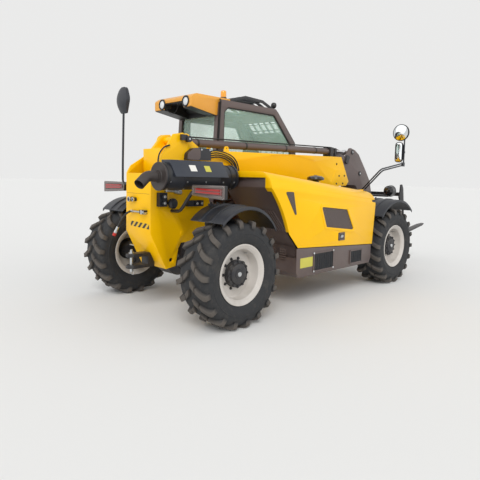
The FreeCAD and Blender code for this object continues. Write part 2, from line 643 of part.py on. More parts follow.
def extension_rod():
    """Rod of the extension cylinder, from inside its barrel to the eye at the boom head."""
    level = EXTENSION_AXIS
    eye_x = EXTENSION_EYE
    rod = cylinder((EXTENSION_REAR + 60.0, 0, level), (eye_x, 0, level), EXTENSION_ROD_RADIUS)
    eye = cylinder((eye_x, -30.0, level), (eye_x, 30.0, level), 42.0)
    whole = fused([rod, eye])
    return boom_place(whole.cut(cylinder((eye_x, -40.0, level), (eye_x, 40.0, level),
                                      EXTENSION_PIN_RADIUS + RUNNING_FIT)))


def head_outline():
    """Side plate of the boom head at rest, from its top rear corner round the front."""
    pivot_x, pivot_z = CARRIAGE_PIVOT
    # Columns: distance ahead of the front axle, height
    upper = ((142.0, 1845.0), (263.0, 1999.0), (420.0, 1965.0), (545.0, 1900.0), (794.0, 1632.0),
             (937.0, 1460.0), (1024.0, 1216.0))
    lower = ((640.0, 1215.0), (485.0, 1392.0), (142.0, 1400.0))
    return ([(WHEELBASE + ahead, up) for ahead, up in upper]
            + [(pivot_x + 78.0, pivot_z + 10.0), (pivot_x, pivot_z - 78.0), (pivot_x - 78.0, pivot_z)]
            + [(WHEELBASE + ahead, up) for ahead, up in lower])


def boom_inner():
    """Telescoping inner boom with the head plates, their pins and cross plates."""
    half = BOOM_HALF_WIDTH - BOOM_WALL - BOOM_GAP
    top = BOOM_TOP - BOOM_WALL - BOOM_GAP
    bottom = BOOM_BOTTOM + BOOM_WALL + BOOM_GAP
    front = BOOM_FRONT + 330.0
    wall = INNER_BOOM_WALL
    heel_rise = (BOOM_REAR_BOTTOM - BOOM_BOTTOM) / (BOOM_HEEL - BOOM_REAR)
    rear_bottom = bottom + (BOOM_HEEL - INNER_BOOM_REAR) * heel_rise
    tube = plate(((INNER_BOOM_REAR, top), (front, top), (front, bottom), (BOOM_HEEL + 10.0, bottom),
                  (INNER_BOOM_REAR, rear_bottom + 6.0)), "y", (-half, half))
    tube = tube.cut(plate(((INNER_BOOM_REAR - 1.0, top - wall), (front + 1.0, top - wall),
                           (front + 1.0, bottom + wall), (BOOM_HEEL + 10.0, bottom + wall),
                           (INNER_BOOM_REAR - 1.0, rear_bottom + 6.0 + wall)), "y",
                          (-half + wall, half - wall)))
    pieces = [boom_place(tube)]
    for side in (-1, 1):
        span = sorted((side * (half - HEAD_PLATE), side * half))
        pieces.append(plate(head_outline(), "y", span,
                            (0, 60.0, 0, 60.0, 60.0, 60.0, 60.0, 60.0, 40.0, 40.0, 60.0, 60.0, 0)))
    eye_x, eye_z = boom_point(EXTENSION_EYE, EXTENSION_AXIS)
    inner = half - HEAD_PLATE + 1.0
    pieces.append(cylinder((eye_x, -half - 12.0, eye_z), (eye_x, half + 12.0, eye_z),
                           EXTENSION_PIN_RADIUS))
    pieces.append(cylinder((TILT_BASE[0], -half - 12.0, TILT_BASE[1]),
                           (TILT_BASE[0], half + 12.0, TILT_BASE[1]), 24.0))
    pieces.append(box((WHEELBASE + 440.0, WHEELBASE + 456.0), (-inner, inner), (1430.0, 1790.0)))
    # Columns: distance ahead of the front axle, height
    web = ((485.0, 1392.0), (645.0, 1216.0), (865.0, 880.0), (878.0, 888.0), (660.0, 1224.0), (497.0, 1404.0))
    pieces.append(plate([(WHEELBASE + ahead, up) for ahead, up in web], "y", (-inner, inner)))
    pieces.append(cylinder((CARRIAGE_PIVOT[0], -half - 36.0, CARRIAGE_PIVOT[1]),
                           (CARRIAGE_PIVOT[0], half + 36.0, CARRIAGE_PIVOT[1]), 26.0))
    return fused(pieces)


def carriage_point(along_face, up):
    """A point of the carriage given square to its leaning face, from its pivot."""
    lean = math.radians(CARRIAGE_LEAN)
    return (CARRIAGE_PIVOT[0] + along_face * math.cos(lean) - up * math.sin(lean),
            CARRIAGE_PIVOT[1] + along_face * math.sin(lean) + up * math.cos(lean))


def leaned(shape):
    """From the carriage's own upright frame about its pivot to its leaning place at rest."""
    moved = shape.copy()
    moved.translate(FreeCAD.Vector(CARRIAGE_PIVOT[0], 0, CARRIAGE_PIVOT[1]))
    return about_y(moved, CARRIAGE_PIVOT, CARRIAGE_LEAN)


def carriage():
    """Fork carriage: two cross bars on uprights, pivot ears and the tilt lever."""
    face = CARRIAGE_FACE
    half = CARRIAGE_HALF_WIDTH
    ear_in = BOOM_HALF_WIDTH - BOOM_WALL - BOOM_GAP + 6.0
    pieces = [
        box((face, face + 40.0), (-half, half), (-190.0, -120.0)),
        box((face, face + 40.0), (-half, half), (250.0, 320.0)),
    ]
    for y in (-half + 12.0, -420.0, -ear_in - 11.0, ear_in + 11.0, 420.0, half - 12.0):
        pieces.append(box((face, face + 34.0), (y - 12.0, y + 12.0), (-150.0, 290.0)))
    for side in (-1, 1):
        span = sorted((side * ear_in, side * (ear_in + 22.0)))
        pieces.append(plate(((-60.0, -60.0), (-60.0, 60.0), (0, 70.0), (face + 1.0, 250.0),
                             (face + 1.0, -150.0), (0.0, -70.0)), "y", span, (40.0, 40.0, 0, 0, 0, 0)))
        horn = plate(((face, 270.0), (face + 36.0, 270.0), (face + 36.0, 560.0), (face + 4.0, 632.0),
                      (face - 36.0, 632.0), (face - 70.0, 520.0), (face - 112.0, 430.0),
                      (face - 60.0, 330.0)),
                     "y", sorted((side * (half - 24.0), side * half)),
                     (0, 0, 24.0, 14.0, 14.0, 60.0, 20.0, 30.0))
        pieces.append(horn)
    pieces.append(box((face + 4.0, face + 30.0), (-half + 1.0, half - 1.0), (430.0, 490.0)))
    eye_x, eye_z = TILT_EYE
    turn = math.radians(-CARRIAGE_LEAN)
    dx, dz = eye_x - CARRIAGE_PIVOT[0], eye_z - CARRIAGE_PIVOT[1]
    lever_x = dx * math.cos(turn) - dz * math.sin(turn)
    lever_z = dx * math.sin(turn) + dz * math.cos(turn)
    for side in (-1, 1):
        span = sorted((side * 46.0, side * 66.0))
        pieces.append(plate(((lever_x - 42.0, lever_z - 30.0), (lever_x - 42.0, lever_z + 30.0),
                             (lever_x, lever_z + 42.0), (face + 1.0, lever_z + 40.0),
                             (face + 1.0, -120.0), (face - 30.0, -120.0)), "y", span,
                            (24.0, 24.0, 20.0, 0, 0, 0)))
        pieces.append(cylinder((lever_x, side * 40.0, lever_z), (lever_x, side * 70.0, lever_z), 24.0))
    whole = fused(pieces)
    whole = whole.cut(cylinder((0, -260.0, 0), (0, 260.0, 0), 26.0 + RUNNING_FIT))
    return leaned(whole)


def forks():
    """Two forged fork tines hanging on the carriage bars."""
    face = CARRIAGE_FACE + 40.0
    heel = -330.0
    tines = []
    for side in (-1, 1):
        y = side * FORK_CENTRE_Y
        span = (y - FORK_WIDTH / 2, y + FORK_WIDTH / 2)
        shank = plate(((face + 0.3, 360.0), (face + FORK_THICKNESS, 350.0),
                       (face + FORK_THICKNESS, heel + FORK_THICKNESS),
                       (face + FORK_LENGTH, heel + 14.0), (face + FORK_LENGTH, heel),
                       (face + 0.3, heel)), "y", span, (0, 0, 18.0, 0, 0, 40.0))
        tip = plate(((face - 20.0, span[0] - 1.0), (face + FORK_LENGTH - 130.0, span[0] - 1.0),
                     (face + FORK_LENGTH - 130.0, span[0]), (face + FORK_LENGTH, y - 28.0),
                     (face + FORK_LENGTH, y + 28.0), (face + FORK_LENGTH - 130.0, span[1]),
                     (face + FORK_LENGTH - 130.0, span[1] + 1.0), (face - 20.0, span[1] + 1.0)), "z",
                    (heel - 5.0, 400.0))
        hook = plate(((CARRIAGE_FACE - 14.0, 320.3), (face + 2.0, 320.3), (face + 2.0, 356.0),
                      (CARRIAGE_FACE + 6.0, 350.0), (CARRIAGE_FACE - 14.0, 345.0)), "y",
                     (y - 50.0, y + 50.0))
        tines.append(leaned(fused([shank.common(tip), hook])))
    return set_of(tines)


def strut(base, eye, barrel_radius, barrel_length, rod_radius, rod_tail, base_pin, width, wall):
    """Barrel and rod of a cylinder between two pins; each pin point is (x, z) at rest."""
    length = math.dist(base, eye)
    angle = math.degrees(math.atan2(eye[1] - base[1], eye[0] - base[0]))
    barrel = cylinder((70.0, 0, 0), (barrel_length, 0, 0), barrel_radius)
    gland = cylinder((barrel_length - 60.0, 0, 0), (barrel_length, 0, 0), barrel_radius + 7.0)
    eye_ring = cylinder((0, -width, 0), (0, width, 0), base_pin + 24.0)
    neck = box((0, 90.0), (-width + 6.0, width - 6.0), (-base_pin - 8.0, base_pin + 8.0))
    barrel = fused([barrel, gland, eye_ring, neck])
    barrel = barrel.cut(cylinder((100.0, 0, 0), (barrel_length - 59.0, 0, 0), barrel_radius - wall))
    barrel = barrel.cut(cylinder((barrel_length - 60.0, 0, 0), (barrel_length + 1.0, 0, 0),
                                 rod_radius + RUNNING_FIT))
    barrel = barrel.cut(cylinder((0, -width - 1.0, 0), (0, width + 1.0, 0), base_pin + RUNNING_FIT))
    rod = fused([cylinder((rod_tail, 0, 0), (length, 0, 0), rod_radius),
                 cylinder((length, -width + 10.0, 0), (length, width - 10.0, 0), rod_radius + 16.0)])
    shapes = []
    for shape in (barrel, rod):
        shape.translate(FreeCAD.Vector(base[0], 0, base[1]))
        shapes.append(about_y(shape, base, angle))
    return shapes


def hood_line(x):
    """Height of the hood's top, falling towards the front."""
    return HOOD_REAR_Z - HOOD_FALL * (x - HOOD_REAR_X)


def hood_x(share):
    """A place along the hood, as a share of its length from the rear edge."""
    return HOOD_REAR_X + share * (HOOD_FRONT_X - HOOD_REAR_X)


def hood_solid(inset):
    """Full hood form, drawn in by an inset, with its big rounded outer shoulder."""
    low, high = BAY_OUTER_Y + inset, BAY_INNER_Y - inset
    arch = [FreeCAD.Vector(x, low, z) for x, z in HOOD_ARCH]
    corners = [(HOOD_REAR_X, hood_line(HOOD_REAR_X)), (HOOD_FRONT_X, hood_line(HOOD_FRONT_X)),
               HOOD_TOE, HOOD_FOOT]
    line = [arch[0]] + [FreeCAD.Vector(x, low, z) for x, z in corners] + [arch[2]]
    edges = [Part.makeLine(a, b) for a, b in zip(line, line[1:])]
    wire = Part.Wire(edges + [Part.Arc(arch[2], arch[1], arch[0]).toShape()])
    if inset:
        wire = wire.makeOffset2D(-inset, 2)
    body = Part.Face(wire).extrude(FreeCAD.Vector(0, high - low, 0))
    top_edges = [e for e in body.Edges
                 if e.Length > 0.6 * (HOOD_FRONT_X - HOOD_REAR_X)
                 and all(abs(v.Y - low) < 1.0 for v in e.Vertexes)
                 and min(v.Z for v in e.Vertexes) > HOOD_HINGE_Z - 100.0]
    return body.makeFillet(HOOD_SHOULDER - inset, top_edges)


def grown(outline, by):
    """An outline drawn larger about its middle by a distance on every side."""
    lows = [min(values) for values in zip(*outline)]
    highs = [max(values) for values in zip(*outline)]
    middles = [(low + high) / 2 for low, high in zip(lows, highs)]
    scales = [1.0 + 2 * by / (high - low) for low, high in zip(lows, highs)]
    return [tuple(mid + (value - mid) * scale for value, mid, scale in zip(point, middles, scales))
            for point in outline]


def vent_outline():
    """Outline of the vent panel as (x, z)."""
    return [(hood_x(share), up) for share, up in VENT_PANEL]


def hood():
    """Hood lid: one sheet for the top and the outer side, with lips round the wheel arch."""
    wall = HOOD_WALL
    lip = 42.0
    shell = hood_solid(0.0).cut(hood_solid(wall))
    inner = (BAY_OUTER_Y + lip, BAY_INNER_Y + 1.0)
    rear = HOOD_REAR_X - 100.0
    front = HOOD_FRONT_X + 33.0
    front_in = HOOD_FRONT_X - 97.0
    top = hood_line(front) - wall - lip
    openings = [
        box((front_in, front), (BAY_OUTER_Y + wall, BAY_INNER_Y - wall), (500.0, top - 60.0)),
        plate(((front_in, 1000.0), (front, 1000.0), (front, hood_line(front) - wall),
               (front_in, hood_line(front_in) - wall)), "y",
              (BAY_OUTER_Y + HOOD_SHOULDER, BAY_INNER_Y - wall)),
        box((rear, front), inner, (500.0, 1205.0)),
        box((rear, 700.0), inner, (1200.0, HOOD_ARCH[0][1] - 40.0)),
        box((rear, 700.0), (BAY_OUTER_Y + HOOD_SHOULDER * 0.5, BAY_INNER_Y + 1.0),
            (1200.0, hood_line(HOOD_REAR_X) - wall - lip - 20.0)),
        box((rear, front), (BAY_INNER_Y - wall - 1.0, BAY_INNER_Y + 1.0), (500.0, 1290.0)),
        box((700.0, front), (BAY_OUTER_Y + wall, BAY_INNER_Y), (500.0, 900.0)),
    ]
    for opening in openings:
        shell = shell.cut(opening)
    pieces = [shell]
    for y in HOOD_HINGES:
        pieces.append(cylinder((HOOD_HINGE_X, y - HINGE_HALF, HOOD_HINGE_Z),
                               (HOOD_HINGE_X, y + HINGE_HALF, HOOD_HINGE_Z), 11.0))
        pieces.append(box((HOOD_HINGE_X - 90.0, HOOD_HINGE_X), (y - HINGE_HALF, y + HINGE_HALF),
                          (hood_line(HOOD_HINGE_X - 90.0) - 2.0, HOOD_HINGE_Z + 8.0)))
    latch_x = hood_x(0.6125)
    pieces.append(box((latch_x - 62.0, latch_x + 62.0), (BAY_OUTER_Y - 8.0, BAY_OUTER_Y + 1.0),
                      (738.0, 828.0)))
    frame = plate(grown(vent_outline(), 42.0), "y", (BAY_OUTER_Y - 6.0, BAY_OUTER_Y + 30.0), 34.0)
    recess = plate(vent_outline(), "y", (BAY_OUTER_Y - 7.0, BAY_OUTER_Y + 24.0), 16.0)
    whole = fused(pieces + [frame])
    bore = cylinder((HOOD_HINGE_X, BAY_OUTER_Y, HOOD_HINGE_Z), (HOOD_HINGE_X, 0, HOOD_HINGE_Z),
                    HINGE_PIN_RADIUS + RUNNING_FIT)
    return whole.cut(recess).cut(bore)


def hood_vents():
    """Vent panel sunk in the hood's recess and the dark triangle behind the wheel arch."""
    floor_y = BAY_OUTER_Y + 24.0
    panel = plate(grown(vent_outline(), -0.5), "y", (BAY_OUTER_Y + 4.0, floor_y), 15.5)
    triangle = plate(((634.0, 1340.0), (768.0, 1336.0), (846.0, 1027.0)), "y",
                     (BAY_OUTER_Y - 5.0, BAY_OUTER_Y), 14.0)
    return set_of([panel, triangle])


def engine_skirt():
    """Lower right body: a boxed tank and step unit with a raised front bulkhead and rear panel."""
    deck = SKIRT_DECK_Z
    body = plate(((SKIRT_REAR_X, SKIRT_BOTTOM_Z + 60.0), (SKIRT_REAR_X + 40.0, SKIRT_BOTTOM_Z),
                  (SKIRT_FRONT_X - 40.0, SKIRT_BOTTOM_Z), (SKIRT_FRONT_X, SKIRT_BOTTOM_Z + 60.0),
                  (SKIRT_FRONT_X, deck), (SKIRT_REAR_X, deck)), "y", (BAY_OUTER_Y, -PLATE_OUTER))
    skin = plate(((SKIRT_REAR_X, deck - 10.0), (SKIRT_FRONT_X, deck - 10.0),
                  (SKIRT_FRONT_X, HOOD_TOE[1] - PANEL_GAP), (SKIRT_REAR_X + 20.0, HOOD_FOOT[1] - PANEL_GAP),
                  (SKIRT_REAR_X, HOOD_FOOT[1] - PANEL_GAP)), "y", (BAY_OUTER_Y, BAY_OUTER_Y + 12.0))
    wall_x = (BULKHEAD_X, BULKHEAD_X + 12.0)
    wall_y = (BAY_OUTER_Y + 20.0, BAY_INNER_Y - 20.0)
    bulkhead = box(wall_x, wall_y, (deck - 10.0, HOOD_REAR_Z)).common(hood_solid(HOOD_WALL + 14.0))
    foot = box(wall_x, wall_y, (deck - 10.0, 700.0))
    pieces = [body, skin, bulkhead, foot]
    root_x = BULKHEAD_X + 8.0
    for y in HOOD_HINGES:
        for cheek in (y - HINGE_HALF - 12.0, y + HINGE_HALF + 1.0):
            pieces.append(plate(((root_x, HOOD_HINGE_Z - 98.0), (HOOD_HINGE_X + 16.0, HOOD_HINGE_Z - 53.0),
                                 (HOOD_HINGE_X + 12.0, HOOD_HINGE_Z + 12.0),
                                 (HOOD_HINGE_X - 12.0, HOOD_HINGE_Z + 12.0),
                                 (HOOD_HINGE_X - 14.0, HOOD_HINGE_Z - 28.0),
                                 (root_x, HOOD_HINGE_Z - 38.0)), "y", (cheek, cheek + 11.0)))
        pieces.append(cylinder((HOOD_HINGE_X, y - HINGE_HALF - 5.0, HOOD_HINGE_Z),
                               (HOOD_HINGE_X, y + HINGE_HALF + 5.0, HOOD_HINGE_Z), HINGE_PIN_RADIUS))
    return fused(pieces)


def arch_panel():
    """Folded panel that closes the engine bay behind the rear wheel."""
    gap = ARCH_PANEL_GAP
    line = [(HOOD_FOOT[0] + gap, SKIRT_DECK_Z), (HOOD_FOOT[0] + gap, HOOD_FOOT[1]),
            (HOOD_ARCH[2][0] + gap, HOOD_ARCH[2][1]), (HOOD_ARCH[1][0] + gap + 8.0, HOOD_ARCH[1][1]),
            (HOOD_REAR_X + gap + 15.0, 1380.0), (HOOD_REAR_X + gap + 15.0, HOOD_REAR_Z)]
    sheet = plate(line + [(x + 6.0, z) for x, z in reversed(line)], "y",
                  (BAY_OUTER_Y + 52.0, BAY_INNER_Y - 12.0))
    pipe_hole = cylinder((350.0, MUFFLER_Y, 1440.0), (600.0, MUFFLER_Y, 1440.0), 38.0)
    sheet = sheet.cut(pipe_hole)
    back_x = BULKHEAD_X - 40.0
    inner_sheet = plate([(x + 3.0, z) for x, z in line] + [(back_x, 1240.0), (back_x, SKIRT_DECK_Z)], "y",
                        (BAY_INNER_Y - 18.0, BAY_INNER_Y - 12.0))
    whole = fused([sheet, inner_sheet])
    low = whole.common(box((800.0, back_x + 1.0), (BAY_OUTER_Y, 0.0), (SKIRT_DECK_Z, 900.0)))
    return fused([low, whole.common(hood_solid(HOOD_WALL + 10.0))])


def engine_block():
    """The engine as one plain block at its place."""
    return box((1080.0, SKIRT_FRONT_X - 489.0), (-900.0, -420.0), (SKIRT_DECK_Z, 1215.0))


def skirt_grilles():
    """Two access grilles with frames and bars on the lower right side."""
    grilles = []
    for share, z, wide, high in SKIRT_GRILLES:
        x = SKIRT_REAR_X + share * (SKIRT_FRONT_X - SKIRT_REAR_X)
        backing = box((x - wide / 2, x + wide / 2), (BAY_OUTER_Y - 3.0, BAY_OUTER_Y),
                      (z - high / 2, z + high / 2))
        rim_y = (BAY_OUTER_Y - 9.0, BAY_OUTER_Y - 2.0)
        border = box((x - wide / 2, x + wide / 2), rim_y, (z - high / 2, z + high / 2))
        field = box((x - wide / 2 + 16.0, x + wide / 2 - 16.0), (rim_y[0] - 1.0, rim_y[1] + 1.0),
                    (z - high / 2 + 16.0, z + high / 2 - 16.0))
        bars = [backing, border.cut(field)]
        count = round(wide / 48.0)
        for i in range(1, count):
            at = x - wide / 2 + wide * i / count
            bars.append(box((at - 4.0, at + 4.0), (BAY_OUTER_Y - 7.0, BAY_OUTER_Y - 2.0),
                            (z - high / 2 + 8.0, z + high / 2 - 8.0)))
        grilles.append(fused(bars))
    return set_of(grilles)


def precleaner():
    """Air pre-cleaner: a wide lid over a bowl on a short neck, standing on the hood."""
    x, y = hood_x(0.667), -600.0
    base = hood_line(x) - 8.0
    seat = hood_line(x)
    bowl = Part.makePolygon([FreeCAD.Vector(x + r, y, z) for r, z in (
        (0, base), (46.0, base), (46.0, seat + 18.0), (70.0, seat + 34.0), (104.0, seat + 44.0),
        (112.0, seat + 58.0), (104.0, seat + 80.0), (60.0, seat + 94.0), (0, seat + 98.0), (0, base))])
    body = Part.Face(bowl).revolve(FreeCAD.Vector(x, y, 0), FreeCAD.Vector(0, 0, 1), 360)
    return body.cut(hood_solid(-SEAT_GAP))


def muffler():
    """Silencer can along the right side with its end caps, inlet and turned-down tail pipe."""
    rear, front = MUFFLER_REAR_X, MUFFLER_FRONT_X
    can = turned_x(((rear, 0.0), (rear, MUFFLER_RADIUS - 16.0), (rear + 16.0, MUFFLER_RADIUS),
                    (front - 16.0, MUFFLER_RADIUS), (front, MUFFLER_RADIUS - 16.0), (front, 0.0)),
                   MUFFLER_Y, MUFFLER_Z)
    inlet = cylinder((front - 5.0, MUFFLER_Y, 1440.0), (560.0, MUFFLER_Y, 1440.0), 32.0)
    outer = bent_tube(((rear + 30.0, MUFFLER_Y, MUFFLER_Z), (rear - 130.0, MUFFLER_Y, MUFFLER_Z),
                       (rear - 235.0, MUFFLER_Y - 30.0, MUFFLER_Z - 80.0)), 52.0, 110.0)
    bore = bent_tube(((rear - 10.0, MUFFLER_Y, MUFFLER_Z), (rear - 130.0, MUFFLER_Y, MUFFLER_Z),
                      (rear - 240.0, MUFFLER_Y - 31.4, MUFFLER_Z - 84.0)), 49.0, 110.0)
    brackets = []
    for x in (-330.0, 130.0):
        band = turned_x(((x - 20.0, MUFFLER_RADIUS - 2.0), (x - 20.0, MUFFLER_RADIUS + 4.0),
                         (x + 20.0, MUFFLER_RADIUS + 4.0), (x + 20.0, MUFFLER_RADIUS - 2.0)),
                        MUFFLER_Y, MUFFLER_Z)
        foot = box((x - 20.0, x + 20.0), (MUFFLER_Y + 60.0, -PLATE_OUTER),
                   (MUFFLER_Z - 90.0, MUFFLER_Z - 76.0))
        brackets += [band, foot]
    return fused([can, inlet, outer] + brackets).cut(bore)


def turned_x(profile, y, z):
    """A piece turned about an axis along X, from (place along X, radius) points."""
    points = [FreeCAD.Vector(x, y, z + radius) for x, radius in profile]
    face = Part.Face(Part.makePolygon(points + [points[0]]))
    return face.revolve(FreeCAD.Vector(0, y, z), FreeCAD.Vector(1, 0, 0), 360)


def heat_shield():
    """Folded cover over the silencer: a slanted outer face, a flat top and a closed rear end."""
    slant = ((MUFFLER_Y - 172.0, MUFFLER_Z + 1.0), (MUFFLER_Y - 62.0, MUFFLER_Z + 164.0))
    top_y = MUFFLER_Y + 70.0
    sheet = 6.0
    rear = MUFFLER_REAR_X + 82.0
    outline = (slant[0], slant[1], (top_y, slant[1][1]), (top_y, slant[1][1] - sheet),
               (slant[1][0] + 3.0, slant[1][1] - sheet), (slant[0][0] + 7.0, slant[0][1]))
    cover = plate(outline, "x", (rear, MUFFLER_FRONT_X - 170.0))
    end = plate((slant[0], slant[1], (top_y, slant[1][1]), (top_y, slant[0][1])), "x", (rear, rear + sheet))
    feet = [end]
    for x in (MUFFLER_REAR_X + 190.0, MUFFLER_FRONT_X - 300.0):
        feet.append(box((x - 12.0, x + 12.0), (MUFFLER_Y - 60.0, MUFFLER_Y - 36.0),
                        (MUFFLER_Z + 100.0, slant[1][1] - 1.0)))
    can = cylinder((MUFFLER_REAR_X - 10.0, MUFFLER_Y, MUFFLER_Z),
                   (MUFFLER_FRONT_X + 10.0, MUFFLER_Y, MUFFLER_Z),
                   MUFFLER_RADIUS + 0.3)
    return fused([cover] + feet).cut(can)


def road_lights():
    """Rear lamp clusters: a tapered housing with a raised lens, on a bent arm from the tower."""
    lamps = []
    for side in (-1, 1):
        # Columns: distance from the middle, height
        housing = ((640.0, 1294.0), (1110.0, 1268.0), (1110.0, 1400.0), (640.0, 1398.0))
        lens = ((690.0, 1318.0), (1070.0, 1306.0), (1070.0, 1372.0), (690.0, 1372.0))
        body = plate([(side * y, z) for y, z in housing], "x", (-262.0, -218.0), 12.0)
        raised = plate([(side * y, z) for y, z in lens], "x", (-272.0, -261.0), 8.0)
        arm = bent_tube(((-208.0, side * PLATE_OUTER, 1112.0), (-208.0, side * 360.0, 1112.0),
                         (-208.0, side * 585.0, 1330.0), (-208.0, side * 1060.0, 1330.0)), 18.0, 40.0)
        lamps.append(fused([body, raised, arm]))
    return set_of(lamps)


def rear_fittings():
    """Couplers, sockets and the horn on the rear of the chassis."""
    plate_y = -PLATE_OUTER
    wall = REAR_WALL_X
    socket = fused([box((wall - 16.0, wall), (30.0, 146.0), (1206.0, 1246.0)),
                    cylinder((wall - 58.0, 96.0, 1226.0), (wall, 96.0, 1226.0), 25.0),
                    cylinder((wall - 44.0, 40.0, 1226.0), (wall, 40.0, 1226.0), 18.0)])
    latch = fused([box((wall - 16.0, wall), (-160.0, 120.0), (1088.0, 1106.0)),
                   box((wall - 46.0, wall), (-176.0, -96.0), (1082.0, 1122.0))])
    ports = fused([box((-398.0, -302.0), (plate_y - 55.0, plate_y), (1162.0, 1306.0)),
                   cylinder((-350.0, plate_y - 84.0, 1200.0), (-350.0, plate_y, 1200.0), 24.0),
                   cylinder((-350.0, plate_y - 84.0, 1266.0), (-350.0, plate_y, 1266.0), 24.0)])
    horn = fused([cylinder((-243.0, plate_y - 40.0, 1193.0), (-243.0, plate_y, 1193.0), 22.0),
                  turned(((0.0, 0.0), (0.0, 30.0), (26.0, 54.0), (54.0, 54.0), (72.0, 34.0), (72.0, 0.0)),
                         (-243.0, plate_y - 30.0, 1193.0), -1)])
    valve = fused([box((-26.0, 190.0), (plate_y - 55.0, plate_y), (1154.0, 1218.0)),
                   cylinder((84.0, plate_y - 78.0, 1186.0), (84.0, plate_y, 1186.0), 22.0),
                   cylinder((150.0, plate_y - 78.0, 1186.0), (150.0, plate_y, 1186.0), 22.0)])
    clamp = fused([box((-290.0, -110.0), (plate_y - 14.0, plate_y), (1328.0, 1350.0)),
                   box((-180.0, -110.0), (plate_y - 44.0, plate_y), (1306.0, 1362.0))])
    cover = plate(((-52.0, 1660.0), (-44.0, 1730.0), (36.0, 1786.0), (134.0, 1798.0), (134.0, 1660.0)), "y",
                  (plate_y - 60.0, plate_y), (0, 50.0, 50.0, 0, 0))
    hose_box = box((133.0, 288.0), (plate_y - 56.0, plate_y), (1662.0, 1791.0))
    pin_cap = fused([box((PIVOT_X - 95.0, PIVOT_X - 15.0), (plate_y - 44.0, plate_y - 12.0),
                         (PIVOT_Z - 16.0, PIVOT_Z + 44.0)),
                     cylinder((PIVOT_X, plate_y - 62.0, PIVOT_Z), (PIVOT_X, plate_y - 12.0, PIVOT_Z), 34.0)])
    return set_of([socket, latch, ports, horn, valve, clamp, fused([cover, hose_box]), pin_cap])


def cab_outline(inset):
    """Side outline of the cab body, drawn in by an inset."""
    return [(CAB_REAR_X + inset, CAB_FLOOR_Z + inset), (CAB_REAR_X + inset, 1400.0),
            (866.0 + inset, CAB_TOP_Z - 58.0), (930.0 + inset, CAB_TOP_Z - inset),
            (CAB_FRONT_X - 465.0 - inset * 0.4, CAB_TOP_Z - inset), (CAB_FRONT_X - 10.0 - inset, 2020.0),
            (CAB_FRONT_X + 60.0 - inset, 1420.0), (CAB_FRONT_X - inset, CAB_FLOOR_Z + inset)]


def cab_envelope(gap):
    """The cab's outside as a solid block, grown by a gap, to trim what sits on it."""
    return plate(cab_outline(-gap), "y", (PLATE_OUTER - 1.0, CAB_OUTER_Y + 1.0),
                 (20.0, 0, 60.0, 30.0, 40.0, 60.0, 200.0, 40.0))


def cab_shell():
    """Cab body: hollow welded frame with its window, windscreen and door openings cut."""
    low, high = PLATE_OUTER, CAB_OUTER_Y
    body = plate(cab_outline(0.0), "y", (low, high), (20.0, 0, 60.0, 30.0, 40.0, 60.0, 200.0, 40.0))
    cavity = plate(cab_outline(CAB_POST), "y", (low + CAB_WALL, high - CAB_WALL))
    body = body.cut(cavity)
    inside = (low + CAB_WALL + 24.0, high - CAB_WALL - 24.0)
    openings = [
        box((CAB_REAR_X - 10.0, CAB_REAR_X + 200.0), inside, (1480.0, CAB_TOP_Z - 118.0)),
        plate([(CAB_FRONT_X + ahead, up) for ahead, up in SCREEN_OPENING], "y", inside),
        box((1080.0, CAB_FRONT_X - 550.0), inside, (CAB_TOP_Z - 128.0, CAB_TOP_Z + 22.0)),
        plate(right_window(0.0), "y", (low - 1.0, low + CAB_WALL + 1.0), 40.0),
        plate(door_outline(0.0), "y", (high - CAB_WALL - 1.0, high + 1.0), 30.0),
    ]
    for opening in openings:
        body = body.cut(opening)
    pieces = [body]
    axis = (DOOR_REAR_X - 5.0, high + DOOR_AXIS_OUT)
    for z in DOOR_HINGES:
        for low_z, high_z in ((z - 60.0, z - HINGE_LENGTH / 2 - 1.0), (z + HINGE_LENGTH / 2 + 1.0, z + 60.0)):
            pieces.append(cylinder((axis[0], axis[1], low_z), (axis[0], axis[1], high_z), 12.0))
            pieces.append(box((axis[0] - 40.0, axis[0]), (high - 1.0, axis[1] + 6.0), (low_z, high_z)))
        pieces.append(cylinder((axis[0], axis[1], z - 50.0), (axis[0], axis[1], z + 50.0), HINGE_PIN_RADIUS))
    return fused(pieces)


def right_window(inset):
    """Outline of the right side window, drawn in by an inset."""
    # Columns: distance from the cab's front, height; the rear edge stands by the cab's rear
    front = ((-500.0, 2392.0), (-110.0, 1990.0), (-70.0, 1420.0), (-120.0, 1100.0), (-750.0, 1100.0),
             (-950.0, 1340.0))
    outline = [(CAB_REAR_X + 146.0, 1340.0), (CAB_REAR_X + 166.0, 2330.0), (CAB_REAR_X + 230.0, 2392.0)]
    outline += [(CAB_FRONT_X + along, up) for along, up in front]
    return grown(outline, -inset)


def door_outline(inset):
    """Outline of the door leaf inside its opening."""
    nose = DOOR_FRONT_X + DOOR_NOSE
    return [(DOOR_REAR_X + inset, DOOR_SILL_Z + inset), (DOOR_REAR_X + inset, DOOR_TOP_Z - inset),
            (DOOR_FRONT_X - 60.0 - inset * 0.5, DOOR_TOP_Z - inset),
            (nose - inset, DOOR_TOP_Z - 350.0 - inset * 0.5),
            (nose - inset, DOOR_SILL_Z + 440.0 + inset * 0.5),
            (DOOR_FRONT_X - inset * 0.5, DOOR_SILL_Z + inset)]


def door_window(inset):
    """Outline of the door's window, drawn in from the leaf's edge by an inset."""
    low = DOOR_WINDOW_Z + inset - DOOR_GAP - DOOR_RAIL
    corners = [(x, max(z, low)) for x, z in door_outline(inset)[1:5]]
    return corners + [(DOOR_REAR_X + inset, low)]


